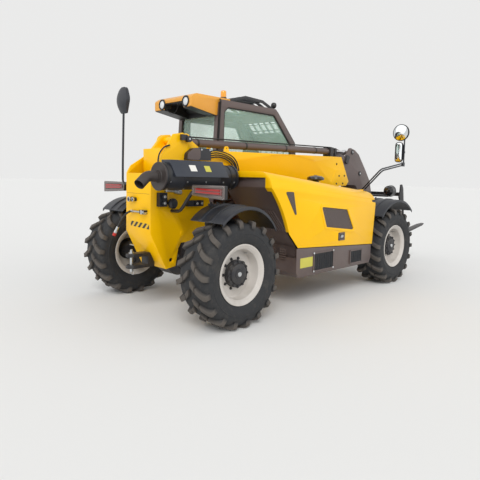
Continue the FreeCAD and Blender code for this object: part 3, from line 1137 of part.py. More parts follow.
def door_frame():
    """Cab door leaf with its window opening, hinge barrels and handle."""
    span = (CAB_OUTER_Y - CAB_WALL, CAB_OUTER_Y)
    leaf = plate(door_outline(DOOR_GAP), "y", span, 26.0)
    window = plate(door_window(DOOR_GAP + DOOR_RAIL), "y", (span[0] - 1.0, span[1] + 1.0), 30.0)
    leaf = leaf.cut(window)
    half = HINGE_LENGTH / 2
    axis = (DOOR_REAR_X - 5.0, CAB_OUTER_Y + DOOR_AXIS_OUT)
    pieces = [leaf]
    for z in DOOR_HINGES:
        pieces.append(box((axis[0], axis[0] + 65.0), (CAB_OUTER_Y + 1.0, CAB_OUTER_Y + 12.0),
                          (z - half, z + half)))
        pieces.append(box((DOOR_REAR_X + DOOR_GAP + 2.0, axis[0] + 65.0),
                          (CAB_OUTER_Y - 1.0, CAB_OUTER_Y + 2.0), (z - half, z + half)))
        pieces.append(cylinder((axis[0], axis[1], z - half), (axis[0], axis[1], z + half), 12.0))
    pieces.append(box((DOOR_FRONT_X - 40.0, DOOR_FRONT_X + 80.0), (CAB_OUTER_Y - 1.0, CAB_OUTER_Y + 16.0),
                      (DOOR_WINDOW_Z - 70.0, DOOR_WINDOW_Z - 40.0)))
    pin = cylinder((axis[0], axis[1], 0), (axis[0], axis[1], 3000.0), HINGE_PIN_RADIUS + RUNNING_FIT)
    return fused(pieces).cut(pin)


def door_glass():
    """Glass of the door."""
    middle = CAB_OUTER_Y - CAB_WALL / 2
    return plate(door_window(DOOR_GAP + DOOR_RAIL + GLASS_FIT), "y", (middle - GLASS / 2, middle + GLASS / 2),
                 30.0)


def cab_glass():
    """Fixed panes: right side, rear, windscreen and roof light."""
    edge = CAB_WALL + 24.0 + GLASS_FIT
    inside = (PLATE_OUTER + edge, CAB_OUTER_Y - edge)
    right = plate(right_window(GLASS_FIT), "y", (PLATE_OUTER + 18.0, PLATE_OUTER + 18.0 + GLASS), 40.0)
    low = 1480.0 + GLASS_FIT
    high = CAB_TOP_Z - 118.0 - GLASS_FIT
    rear = plate(((CAB_REAR_X + 30.0, low), (CAB_REAR_X + 30.0 + GLASS, low),
                  (CAB_REAR_X + 86.0 + GLASS, high), (CAB_REAR_X + 86.0, high)), "y", inside)
    # Columns: distance ahead of the cab's front, height
    bent = ((2.0, 1010.6), (2.0 + GLASS, 1010.6), (34.0 + GLASS, 1420.0), (-40.0 + GLASS, 2008.0),
            (-322.0, 2300.0), (-328.0, 2294.0), (-40.0, 2004.0), (34.0, 1420.0))
    screen = plate([(CAB_FRONT_X + ahead, up) for ahead, up in bent], "y", inside)
    roof = box((1080.0 + GLASS_FIT, CAB_FRONT_X - 550.0 - GLASS_FIT), inside,
               (CAB_TOP_Z - 38.0, CAB_TOP_Z - 38.0 + GLASS))
    return set_of([right, rear, screen, roof])


def cab_roof():
    """Roof visor: a deep overhang behind the cab, hollow below, with two lamp arches in its lip."""
    rear = VISOR_REAR_X
    top = CAB_TOP_Z + 22.0
    outline = ((rear, 2335.0), (rear, top - 45.0), (rear + 70.0, top), (1075.0, top),
               (1075.0, CAB_TOP_Z + 0.3),
               (930.0, CAB_TOP_Z + 0.3), (866.0, 2430.0), (852.0, 2265.0))
    low, high = PLATE_OUTER + 12.0, CAB_OUTER_Y - 30.0
    body = plate(outline, "y", (low, high), (20.0, 30.0, 60.0, 8.0, 0, 0, 0, 20.0))
    body = body.cut(cab_envelope(0.3))
    hollow = ((rear - 1.0, 2200.0), (rear - 1.0, VISOR_LAMP_Z + 12.0), (rear + 260.0, VISOR_LAMP_Z + 22.0),
              (835.0, 2340.0), (835.0, 2200.0))
    between = (VISOR_LAMPS[0] + VISOR_LAMP_RADIUS - 10.0, VISOR_LAMPS[1] - VISOR_LAMP_RADIUS + 10.0)
    body = body.cut(plate(hollow, "y", between, (0, 0, 60.0, 60.0, 0)))
    for y in VISOR_LAMPS:
        body = body.cut(cylinder((rear - 1.0, y, VISOR_LAMP_Z), (rear + 75.0, y, VISOR_LAMP_Z),
                                 VISOR_LAMP_RADIUS + 8.0))
        rest = cylinder((rear + 8.0, y, VISOR_LAMP_Z), (rear + 100.0, y, VISOR_LAMP_Z),
                        VISOR_LAMP_RADIUS + 14.0)
        bore = cylinder((rear + 7.0, y, VISOR_LAMP_Z), (rear + 75.0, y, VISOR_LAMP_Z),
                        VISOR_LAMP_RADIUS + 8.0)
        body = body.fuse(rest.cut(bore))
    return body.removeSplitter()


def work_lamps():
    """Two round lamps in the visor's arches and one at the front of the roof."""
    lamps = []
    rear = VISOR_REAR_X
    for y in VISOR_LAMPS:
        lamps.append(fused([cylinder((rear + 12.0, y, VISOR_LAMP_Z), (rear + 75.0, y, VISOR_LAMP_Z),
                                     VISOR_LAMP_RADIUS),
                            cylinder((rear, y, VISOR_LAMP_Z), (rear + 13.0, y, VISOR_LAMP_Z),
                                     VISOR_LAMP_RADIUS + 4.0)]))
    x, y = CAB_FRONT_X - 427.0, 330.0
    stem = cylinder((x, y, 2400.0), (x, y, 2510.0), 12.0)
    head = cylinder((x - 18.0, y, 2545.0), (x + 27.0, y, 2545.0), 45.0)
    return set_of(lamps + [fused([stem, head]).cut(cab_envelope(0.3))])


def beacon():
    """Amber beacon on the visor."""
    x, y = BEACON_PLACE
    foot = CAB_TOP_Z + 22.0
    profile = ((0, foot), (44.0, foot), (44.0, foot + 14.0), (38.0, foot + 18.0), (38.0, foot + 98.0),
               (28.0, foot + 108.0), (0, foot + 108.0))
    points = [FreeCAD.Vector(x + r, y, z) for r, z in profile]
    return Part.Face(Part.makePolygon(points + [points[0]])).revolve(
        FreeCAD.Vector(x, y, 0), FreeCAD.Vector(0, 0, 1), 360)


def roof_guard():
    """Falling-object guard: bars over the roof and down the windscreen, tied by cross bars."""
    front = CAB_FRONT_X
    line = ((1080.0, 2480.0), (1130.0, 2520.0), (front - 1054.0, 2592.0), (front - 704.0, 2578.0),
            (front - 373.0, 2452.0), (front + 50.0, 2030.0), (front + 80.0, 1800.0))
    bars = []
    deep = 40.0
    lower = [(x - 4.0, z - deep) for x, z in reversed(line)]
    for i in range(7):
        y = PLATE_OUTER + 50.0 + i * (CAB_OUTER_Y - PLATE_OUTER - 100.0) / 6
        bars.append(plate(list(line) + lower, "y", (y - 7.0, y + 7.0)))
    span = (PLATE_OUTER + 43.0, CAB_OUTER_Y - 43.0)
    for x, z in ((1135.0, 2500.0), (front - 704.0, 2558.0), (front - 170.0, 2220.0), (front + 65.0, 1850.0)):
        bars.append(box((x - 9.0, x + 9.0), span, (z - 9.0, z + 9.0)))
    whole = fused(bars)
    return whole.cut(cab_envelope(0.3))


def seat():
    """Driver's seat on its box, with back and headrest."""
    y = (480.0, 960.0)
    floor = CAB_FLOOR_Z + CAB_POST
    base = box((1120.0, 1500.0), (530.0, 910.0), (floor, 1030.0))
    cushion = box((1080.0, 1580.0), y, (1030.0, 1150.0))
    back = plate(((1080.0, 1120.0), (1200.0, 1120.0), (1110.0, 1760.0), (1000.0, 1760.0)), "y", y, 40.0)
    head = plate(((1010.0, 1755.0), (1090.0, 1755.0), (1070.0, 1950.0), (990.0, 1950.0)), "y",
                 (590.0, 850.0), 0.0)
    return fused([base, cushion, back, head])


def steering():
    """Front console with the steering column and wheel."""
    floor = CAB_FLOOR_Z + CAB_POST
    front = CAB_FRONT_X - 65.0
    wheel = FreeCAD.Vector(CAB_FRONT_X - 430.0, 720.0, 1480.0)
    console = plate(((front - 205.0, floor), (front, floor), (front, 1240.0), (front - 105.0, 1330.0),
                     (front - 235.0, 1300.0)), "y", (560.0, 880.0))
    column = cylinder((wheel.x + 210.0, wheel.y, wheel.z - 210.0), tuple(wheel), 32.0)
    ring = Part.makeTorus(185.0, 14.0, wheel, FreeCAD.Vector(-1.0, 0, 1.0))
    spokes = []
    for down, across in ((0.0, 178.0), (0.0, -178.0), (178.0, 0.0)):
        drop = down * math.sqrt(0.5)
        tip = wheel + FreeCAD.Vector(-drop, across, -drop)
        spokes.append(cylinder(tuple(wheel), tuple(tip), 11.0))
    return fused([console, column, ring] + spokes)


def mirrors():
    """Round and oval mirrors on the right arm, and the rounded one on the rear left pole."""
    tube = 10.0
    out_y = -1000.0
    tip_x = WHEELBASE + 405.0
    arms = []
    for up in (-15.0, 15.0):
        arms.append(bent_tube(((BULKHEAD_X + 13.0, -670.0 - up, 1180.0),
                               (WHEELBASE - 360.0, -650.0 - up, 1190.0),
                               (WHEELBASE - 205.0, -600.0 + up * 0.7, 1250.0 + up * 0.7),
                               (WHEELBASE - 254.0, out_y + up * 0.7, 1630.0 + up * 0.7),
                               (tip_x - 40.0, out_y, 1727.0 + up)), tube, 46.0))
    upright = cylinder((tip_x, out_y, 1700.0), (tip_x, out_y, 2300.0), tube)
    knuckle_block = box((tip_x - 46.0, tip_x + 12.0), (out_y - 14.0, out_y + 14.0), (1698.0, 1758.0))
    foot = box((BULKHEAD_X + 12.0, BULKHEAD_X + 24.0), (-720.0, -620.0), (1130.0, 1230.0))
    round_y, round_z = out_y + 54.0, 2205.0
    ball = Part.makeSphere(300.0, FreeCAD.Vector(tip_x + 250.0, round_y, round_z))
    dome = ball.common(cylinder((tip_x - 60.0, round_y, round_z), (tip_x, round_y, round_z), 124.0))
    oval = plate(((out_y + 10.0, 1758.0), (out_y + 126.0, 1758.0), (out_y + 126.0, 2064.0),
                  (out_y + 10.0, 2064.0)), "x", (tip_x - 36.0, tip_x), 57.0)
    stay = box((tip_x - 12.0, tip_x + 12.0), (out_y - 12.0, out_y + 70.0), (1896.0, 1926.0))
    right = fused(arms + [upright, knuckle_block, foot, dome, oval, stay])
    x, y = -420.0, PLATE_OUTER + 160.0
    pole = bent_tube(((x, PLATE_OUTER + 4.0, 1386.0), (x, y, 1386.0), (x, y, 1600.0), (x, y - 20.0, 2300.0)),
                     12.0, 50.0)
    clamp = box((x - 25.0, x + 25.0), (PLATE_OUTER, PLATE_OUTER + 12.0), (1350.0, 1422.0))
    middle = y - 40.0
    # Columns: distance from the head's middle, height
    drop_shape = ((-62.0, 2156.0), (62.0, 2156.0), (112.0, 2310.0), (60.0, 2440.0), (-60.0, 2440.0),
                  (-112.0, 2310.0))
    head = plate([(middle + across, up) for across, up in drop_shape], "x", (x - 70.0, x + 2.0),
                 (20.0, 20.0, 90.0, 60.0, 60.0, 90.0))
    back = Part.makeSphere(260.0, FreeCAD.Vector(x + 198.0, middle, 2305.0))
    left = fused([pole, clamp, head.common(back)])
    return set_of([right, left])


def headlamps():
    """Front lamps on bent stems from the front of the chassis."""
    lamps = []
    foot_x = WHEELBASE + 260.0
    lamp_x = WHEELBASE + 400.0
    for side in (-1, 1):
        y = side * 780.0
        post_y = side * (PLATE_OUTER + 16.0)
        stem = bent_tube(((foot_x, post_y, 700.0), (foot_x, post_y, 1244.0), (lamp_x, y, 1244.0)), 16.0, 60.0)
        base = box((foot_x - 25.0, foot_x + 25.0), sorted((side * PLATE_OUTER, side * (PLATE_OUTER + 30.0))),
                   (690.0, 800.0))
        shell = turned_x([(lamp_x + along, radius) for along, radius in
                          ((-50.0, 0.0), (-42.0, 48.0), (-4.0, 80.0), (70.0, 90.0), (70.0, 0.0))], y, 1320.0)
        neck = cylinder((lamp_x, y, 1230.0), (lamp_x, y, 1300.0), 18.0)
        lamps.append(fused([stem, base, shell, neck]))
    return set_of(lamps)


def side_tank():
    """Fuel tank with a step, low on the left under the cab."""
    rear, front = CAB_REAR_X + 80.0, CAB_FRONT_X - 20.0
    low = SKIRT_BOTTOM_Z + 4.0
    body = plate(((rear, low + 50.0), (rear + 50.0, low), (front - 50.0, low), (front, low + 50.0),
                  (front, CAB_FLOOR_Z), (rear, CAB_FLOOR_Z)), "y", (PLATE_OUTER, 1040.0))
    middle = (DOOR_REAR_X + DOOR_FRONT_X) / 2 - 30.0
    step = box((middle - 225.0, middle + 225.0), (860.0, 1041.0), (low + 40.0, low + 180.0))
    tread = box((middle - 235.0, middle + 235.0), (860.0, 1052.0), (low + 28.0, low + 41.0))
    return fused([body.cut(step), tread])


def build():
    """Every piece by name, in the working frame."""
    pieces = {"chassis_frame": chassis_frame()}
    clevis, pin = hitch()
    pieces["hitch"] = set_of([clevis, pin])
    one_tyre = tyre()
    one_rim = rim()
    for key, x in AXLES.items():
        pieces[{"f": "front", "r": "rear"}[key] + "_axle"] = axle(x)
        for hand, side in SIDES.items():
            tag = "_" + key + hand
            pieces["knuckle" + tag] = knuckle(x, side, key)
            pieces["fender" + tag] = fender(x, side, key)
            for name, shape in (("tyre", one_tyre), ("rim", one_rim)):
                piece = shape.copy()
                if name == "rim" and side < 0:
                    piece = mirrored(piece)
                piece.translate(FreeCAD.Vector(x, side * HALF_TRACK, WHEEL_Z))
                pieces[name + tag] = piece
    makers = (boom_outer, extension_barrel, extension_rod, boom_inner, carriage, forks, hood, hood_vents,
              engine_skirt, arch_panel, engine_block, skirt_grilles, precleaner, muffler, heat_shield,
              road_lights, rear_fittings, cab_shell, door_frame, door_glass, cab_glass, cab_roof,
              work_lamps, beacon, roof_guard, seat, steering, mirrors, headlamps, side_tank)
    for maker in makers:
        pieces[maker.__name__] = maker()
    pieces["lift_barrel"], pieces["lift_rod"] = strut(
        LIFT_BASE, LIFT_EYE, LIFT_BARREL_RADIUS, LIFT_BARREL_LENGTH, LIFT_ROD_RADIUS, LIFT_ROD_TAIL,
        LIFT_PIN_RADIUS, 52.0, 12.0)
    pieces["tilt_barrel"], pieces["tilt_rod"] = strut(
        TILT_BASE, TILT_EYE, TILT_BARREL_RADIUS, TILT_BARREL_LENGTH, TILT_ROD_RADIUS, TILT_ROD_TAIL,
        24.0, 44.0, 9.0)
    return pieces


PIECES = build()
bounds = Part.makeCompound(list(PIECES.values())).BoundBox
ORIGIN = FreeCAD.Vector(-bounds.Center.x, -bounds.Center.y, -bounds.ZMin)
os.makedirs("parts", exist_ok=True)
for name, shape in PIECES.items():
    shape.translate(ORIGIN)
    shape.exportStep("parts/" + name + ".step")
print("origin moved by", ORIGIN, "size", bounds.XLength, bounds.YLength, bounds.ZLength)
for name, shape in PIECES.items():
    print(name, len(shape.Solids), round(shape.Volume / 1e6, 2), shape.isValid())
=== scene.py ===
import json
import math
import random

import bmesh
import bpy
from bpy.props import FloatProperty, FloatVectorProperty, IntProperty, StringProperty
from mathutils import Matrix, Vector

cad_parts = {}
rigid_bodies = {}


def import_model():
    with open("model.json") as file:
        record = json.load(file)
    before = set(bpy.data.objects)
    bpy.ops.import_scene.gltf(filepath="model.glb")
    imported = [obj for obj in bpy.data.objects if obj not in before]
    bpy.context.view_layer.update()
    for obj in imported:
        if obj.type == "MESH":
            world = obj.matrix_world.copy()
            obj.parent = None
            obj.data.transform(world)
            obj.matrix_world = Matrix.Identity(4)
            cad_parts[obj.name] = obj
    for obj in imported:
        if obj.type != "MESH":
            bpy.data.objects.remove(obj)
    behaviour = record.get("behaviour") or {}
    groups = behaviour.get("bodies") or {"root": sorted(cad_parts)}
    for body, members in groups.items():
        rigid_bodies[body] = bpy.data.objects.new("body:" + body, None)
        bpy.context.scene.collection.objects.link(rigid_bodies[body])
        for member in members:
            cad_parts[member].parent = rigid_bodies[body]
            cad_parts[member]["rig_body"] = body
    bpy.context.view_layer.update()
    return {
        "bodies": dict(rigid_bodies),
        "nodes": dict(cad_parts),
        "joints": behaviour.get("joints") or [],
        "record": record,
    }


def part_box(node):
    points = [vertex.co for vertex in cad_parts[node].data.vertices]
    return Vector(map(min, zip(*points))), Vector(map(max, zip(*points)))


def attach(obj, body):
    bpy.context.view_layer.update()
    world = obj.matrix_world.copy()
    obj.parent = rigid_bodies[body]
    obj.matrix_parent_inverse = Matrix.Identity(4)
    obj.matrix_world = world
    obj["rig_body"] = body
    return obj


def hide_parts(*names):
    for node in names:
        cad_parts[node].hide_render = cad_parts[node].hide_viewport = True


bl_info = {
    "name": "Telehandler finish",
    "version": (1, 0, 0),
    "blender": (4, 5, 0),
    "location": "View3D > Sidebar > Telehandler",
    "description": "Dresses the packed telehandler with finished tyres, paint, fittings and a studio",
    "category": "Object",
}

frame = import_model()

# The machine's own frame: millimetres from the ground under the middle of the rear axle
RIM_LOW, RIM_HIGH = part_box("rim_rl")
WHEEL_CENTRE_Z = 537.5
MACHINE_X = (RIM_LOW.x + RIM_HIGH.x) / 2
MACHINE_Z = (RIM_LOW.z + RIM_HIGH.z) / 2 - WHEEL_CENTRE_Z / 1000

WHEELBASE = 3120.0
HALF_TRACK = 940.0
BAY_OUTER_Y = -1100.0
PLATE_OUTER = 235.0
CAB_OUTER_Y = 1050.0
PIVOT = (-20.0, 1880.0)
BOOM_REST_ANGLE = math.radians(1.07)

WHEELS = {"fl": (WHEELBASE, 1), "fr": (WHEELBASE, -1), "rl": (0.0, 1), "rr": (0.0, -1)}


class MachineColours(bpy.types.PropertyGroup):
    """Paint and plastic colours, as sRGB hex values."""
    yellow: StringProperty(name="Yellow", description="Body enamel", default="FFC200")
    visor: StringProperty(name="Visor", description="Enamel of the cab's rear visor", default="E3A034")
    taupe: StringProperty(name="Taupe", description="Grey-brown enamel of cab and skirt", default="5A4C49")
    black: StringProperty(name="Black", description="Satin black of axles and carriage", default="26262A")
    plastic: StringProperty(name="Plastic", description="Blue-black mudguard moulding", default="23262D")
    rubber: StringProperty(name="Rubber", description="Tyre rubber", default="262729")
    rim: StringProperty(name="Rim", description="Off-white wheel enamel", default="C9C3BC")
    muffler: StringProperty(name="Silencer", description="Heat-proof silencer paint", default="22252B")
    glass: StringProperty(name="Glass", description="Tint of the cab glass", default="CDF2E0")
    seat: StringProperty(name="Seat", description="Seat cloth", default="2B2B2E")


class MachineSizes(bpy.types.PropertyGroup):
    """Sizes of what is added to the solids, in millimetres."""
    lug_count: IntProperty(name="Lugs", description="Tread bars on each side of a tyre", default=18, min=8)
    lug_width: FloatProperty(name="Lug width", description="Width of a tread bar", default=50.0, min=10.0)
    edge: FloatProperty(name="Edge", description="Rounding of pressed and cut plate edges", default=2.5, min=0.2)
    bolt: FloatProperty(name="Bolt", description="Bolt head across its flats", default=17.0, min=4.0)
    wheel_bolts: IntProperty(name="Wheel bolts", description="Bolts on a wheel hub", default=10, min=4)


class StudioSettings(bpy.types.PropertyGroup):
    """Camera and floor."""
    place: FloatVectorProperty(name="Camera", description="Camera place in the machine's frame, millimetres",
                               size=3, default=(-3108.0, -4175.0, 1482.0))
    yaw: FloatProperty(name="Yaw", description="Camera heading from +X to +Y", subtype="ANGLE",
                       default=math.radians(45.07))
    pitch: FloatProperty(name="Pitch", description="Camera tilt", subtype="ANGLE", default=math.radians(-4.55))
    roll: FloatProperty(name="Roll", description="Camera roll", subtype="ANGLE", default=math.radians(1.23))
    lens: FloatProperty(name="Lens", description="Focal length on a 36 mm sensor", default=34.2)
    shift: FloatProperty(name="Shift", description="Upright shift of the lens", default=-0.055)
    floor: StringProperty(name="Floor", description="Floor and backdrop colour", default="E9E8E5")


def at(x, y, z):
    """A point of the machine's frame in millimetres, as a place in the row's frame in metres."""
    return Vector((x / 1000 + MACHINE_X, y / 1000, z / 1000 + MACHINE_Z))


def on_boom(along, up, y=0.0):
    """A point given along and above the boom's pivot line, as a place in the row's frame."""
    turn = BOOM_REST_ANGLE
    return at(PIVOT[0] + along * math.cos(turn) - up * math.sin(turn), y,
              PIVOT[1] + along * math.sin(turn) + up * math.cos(turn))


def linear(text):
    """An sRGB hex value as linear RGBA."""
    parts = [int(text[i:i + 2], 16) / 255 for i in (0, 2, 4)]
    return [c / 12.92 if c <= 0.04045 else ((c + 0.055) / 1.055) ** 2.4 for c in parts] + [1.0]


def colours():
    return bpy.context.scene.machine_colours


def sizes():
    return bpy.context.scene.machine_sizes


def add(tree, kind, inputs=None, **settings):
    """One node with its settings and its inputs, each a value or another node's socket."""
    node = tree.nodes.new(kind)
    for key, value in settings.items():
        setattr(node, key, value)
    for key, value in (inputs or {}).items():
        if isinstance(value, bpy.types.NodeSocket):
            tree.links.new(value, node.inputs[key])
        else:
            node.inputs[key].default_value = value
    return node


def blank_material(name):
    """A material with only its surface shader and output."""
    material = bpy.data.materials.new(name)
    material.use_nodes = True
    tree = material.node_tree
    tree.nodes.clear()
    shader = add(tree, "ShaderNodeBsdfPrincipled")
    out = add(tree, "ShaderNodeOutputMaterial")
    tree.links.new(shader.outputs["BSDF"], out.inputs["Surface"])
    return material, tree, shader


def speckle(tree, place, size_mm, detail=4.0, rough=0.55):
    """Uneven grey cloud whose patches are about the size given."""
    return add(tree, "ShaderNodeTexNoise", {"Vector": place, "Scale": 1000.0 / size_mm, "Detail": detail,
                                            "Roughness": rough}).outputs["Fac"]


def span(tree, value, low, high, to_low=0.0, to_high=1.0):
    return add(tree, "ShaderNodeMapRange", {"Value": value, "From Min": low, "From Max": high,
                                            "To Min": to_low, "To Max": to_high}).outputs["Result"]


def blended(tree, share, first, second):
    return add(tree, "ShaderNodeMix", {0: share, 6: first, 7: second}, data_type="RGBA").outputs[2]


def times(tree, first, second):
    return add(tree, "ShaderNodeMath", {0: first, 1: second}, operation="MULTIPLY").outputs[0]


def coated(name, hexa, rough, grain_mm, grain_depth_mm, dust=0.35, dust_hex="8C8272", metallic=0.0,
           coat=0.0, drift=0.08, shine=0.5):
    """A painted or moulded surface: slight drift in its colour, grain from the way it was made,
    and dust that gathers low down and on what faces up."""
    material, tree, shader = blank_material(name)
    place = add(tree, "ShaderNodeTexCoord").outputs["Object"]
    base = linear(hexa)
    darker = [c * (1 - drift) for c in base[:3]] + [1.0]
    lighter = [min(1.0, c * (1 + drift)) for c in base[:3]] + [1.0]
    tone = blended(tree, span(tree, speckle(tree, place, 420.0), 0.3, 0.7), darker, lighter)
    height = add(tree, "ShaderNodeSeparateXYZ", {0: place}).outputs["Z"]
    facing = add(tree, "ShaderNodeSeparateXYZ", {0: add(tree, "ShaderNodeNewGeometry").outputs["Normal"]})
    low = span(tree, height, 0.2, 1.3, 1.0, 0.25)
    up = span(tree, facing.outputs["Z"], 0.2, 1.0, 0.35, 1.0)
    patches = span(tree, speckle(tree, place, 130.0, 8.0, 0.65), 0.42, 0.72)
    film = times(tree, times(tree, low, up), times(tree, patches, dust))
    colour = blended(tree, film, tone, linear(dust_hex))
    tree.links.new(colour, shader.inputs["Base Color"])
    gloss = add(tree, "ShaderNodeMath", {0: film, 1: 0.5, 2: rough}, operation="MULTIPLY_ADD").outputs[0]
    tree.links.new(gloss, shader.inputs["Roughness"])
    grain = speckle(tree, place, grain_mm, 3.0, 0.5)
    bump = add(tree, "ShaderNodeBump", {"Height": grain, "Distance": grain_depth_mm / 1000, "Strength": 1.0})
    tree.links.new(bump.outputs["Normal"], shader.inputs["Normal"])
    shader.inputs["Metallic"].default_value = metallic
    shader.inputs["Coat Weight"].default_value = coat
    shader.inputs["Coat Roughness"].default_value = 0.12
    shader.inputs["Specular IOR Level"].default_value = shine
    return material


def hatch_tape():
    """Reflective hazard tape: slanted black and yellow bars 60 mm wide, slightly beaded film."""
    material, tree, shader = blank_material("hazard tape film")
    place = add(tree, "ShaderNodeTexCoord").outputs["Object"]
    axes = add(tree, "ShaderNodeSeparateXYZ", {0: place})
    along = add(tree, "ShaderNodeMath", {0: axes.outputs["Y"], 1: axes.outputs["Z"]}, operation="ADD").outputs[0]
    bars = add(tree, "ShaderNodeMath", {0: times(tree, along, 1 / 0.085)}, operation="FRACT").outputs[0]
    step = add(tree, "ShaderNodeMath", {0: bars, 1: 0.5}, operation="GREATER_THAN").outputs[0]
    tree.links.new(blended(tree, step, linear("E3B416"), linear("1B1B1C")), shader.inputs["Base Color"])
    shader.inputs["Roughness"].default_value = 0.35
    beads = speckle(tree, place, 2.0, 2.0)
    bump = add(tree, "ShaderNodeBump", {"Height": beads, "Distance": 0.0002, "Strength": 0.6})
    tree.links.new(bump.outputs["Normal"], shader.inputs["Normal"])
    return material


def tyre_rubber():
    """Vulcanised rubber: matt near-black with brown-grey dust in its hollows and scuffed bars."""
    material, tree, shader = blank_material("vulcanised rubber")
    place = add(tree, "ShaderNodeTexCoord").outputs["Object"]
    base = linear(colours().rubber)
    worn = linear("5C554E")
    scuff = span(tree, speckle(tree, place, 60.0, 9.0, 0.7), 0.5, 0.85, 0.0, 0.35)
    top = add(tree, "ShaderNodeAttribute", attribute_name="wear").outputs["Fac"]
    scuff = add(tree, "ShaderNodeMath", {0: times(tree, top, 0.75), 1: scuff}, operation="MAXIMUM").outputs[0]
    tone = blended(tree, scuff, base, worn)
    dirt = span(tree, speckle(tree, place, 240.0, 6.0, 0.6), 0.55, 0.8, 0.0, 0.22)
    tree.links.new(blended(tree, dirt, tone, linear("6E675C")), shader.inputs["Base Color"])
    shader.inputs["Roughness"].default_value = 0.78
    shader.inputs["IOR"].default_value = 1.52
    grain = speckle(tree, place, 5.0, 5.0)
    bump = add(tree, "ShaderNodeBump", {"Height": grain, "Distance": 0.0006, "Strength": 0.8})
    tree.links.new(bump.outputs["Normal"], shader.inputs["Normal"])
    return material


def clear_glass(name, hexa, share, rough=0.03):
    """Float glass a few millimetres thick, tinted in the melt, with a faint film of dust."""
    material, tree, shader = blank_material(name)
    place = add(tree, "ShaderNodeTexCoord").outputs["Object"]
    film = speckle(tree, place, 220.0, 5.0)
    tree.links.new(span(tree, film, 0.3, 0.8, rough, rough + 0.08), shader.inputs["Roughness"])
    tree.links.new(span(tree, film, 0.35, 0.8, share * 0.9, share * 1.25), shader.inputs["Alpha"])
    shader.inputs["Base Color"].default_value = linear(hexa)
    shader.inputs["IOR"].default_value = 1.45
    return material


def lens(name, hexa, rib_mm):
    """Moulded acrylic lens with fine upright ribs inside its face."""
    material, tree, shader = blank_material(name)
    place = add(tree, "ShaderNodeTexCoord").outputs["Object"]
    shader.inputs["Base Color"].default_value = linear(hexa)
    shader.inputs["Roughness"].default_value = 0.12
    shader.inputs["IOR"].default_value = 1.49
    shader.inputs["Coat Weight"].default_value = 0.6
    ribs = add(tree, "ShaderNodeTexWave", {"Vector": place, "Scale": 1000.0 / rib_mm / 6.283},
               bands_direction="DIAGONAL").outputs["Fac"]
    bump = add(tree, "ShaderNodeBump", {"Height": ribs, "Distance": 0.001, "Strength": 0.7})
    tree.links.new(bump.outputs["Normal"], shader.inputs["Normal"])
    return material


def bright_metal(name, hexa, rough, streak_mm):
    """Bare or plated metal with turning or grinding marks."""
    material, tree, shader = blank_material(name)
    place = add(tree, "ShaderNodeTexCoord").outputs["Object"]
    marks = speckle(tree, place, streak_mm, 4.0)
    shader.inputs["Base Color"].default_value = linear(hexa)
    shader.inputs["Metallic"].default_value = 1.0
    tree.links.new(span(tree, marks, 0.3, 0.7, rough * 0.8, rough * 1.3), shader.inputs["Roughness"])
    bump = add(tree, "ShaderNodeBump", {"Height": marks, "Distance": 0.0001, "Strength": 0.4})
    tree.links.new(bump.outputs["Normal"], shader.inputs["Normal"])
    return material


def perforated(name, hexa):
    """Painted sheet punched all over with round holes 9 mm apart."""
    material, tree, shader = blank_material(name)
    place = add(tree, "ShaderNodeTexCoord").outputs["Object"]
    scale = 1000.0 / 9.0 / 2.0
    one = add(tree, "ShaderNodeTexWave", {"Vector": place, "Scale": scale}, bands_direction="X").outputs["Fac"]
    two = add(tree, "ShaderNodeTexWave", {"Vector": place, "Scale": scale}, bands_direction="Z").outputs["Fac"]
    hole = span(tree, times(tree, one, two), 0.32, 0.42)
    tree.links.new(blended(tree, hole, linear(hexa), linear("1B1918")), shader.inputs["Base Color"])
    shader.inputs["Roughness"].default_value = 0.5
    bump = add(tree, "ShaderNodeBump", {"Height": hole, "Distance": 0.001, "Strength": 0.6}, invert=True)
    tree.links.new(bump.outputs["Normal"], shader.inputs["Normal"])
    return material


def seat_cloth():
    """Woven seat cloth: threads drawn 4 mm apart so that the weave shows."""
    material, tree, shader = blank_material("woven seat cloth")
    place = add(tree, "ShaderNodeTexCoord").outputs["Object"]
    thread = 1000.0 / 4.0 / 2.0
    one = add(tree, "ShaderNodeTexWave", {"Vector": place, "Scale": thread}, bands_direction="X").outputs["Fac"]
    two = add(tree, "ShaderNodeTexWave", {"Vector": place, "Scale": thread}, bands_direction="Y").outputs["Fac"]
    weave = times(tree, one, two)
    tone = blended(tree, span(tree, weave, 0.0, 1.0, 0.0, 0.5), linear(colours().seat), linear("4A4A4E"))
    tree.links.new(tone, shader.inputs["Base Color"])
    shader.inputs["Roughness"].default_value = 0.9
    shader.inputs["Sheen Weight"].default_value = 0.3
    bump = add(tree, "ShaderNodeBump", {"Height": weave, "Distance": 0.0006, "Strength": 0.8})
    tree.links.new(bump.outputs["Normal"], shader.inputs["Normal"])
    return material


FINISHES = {}


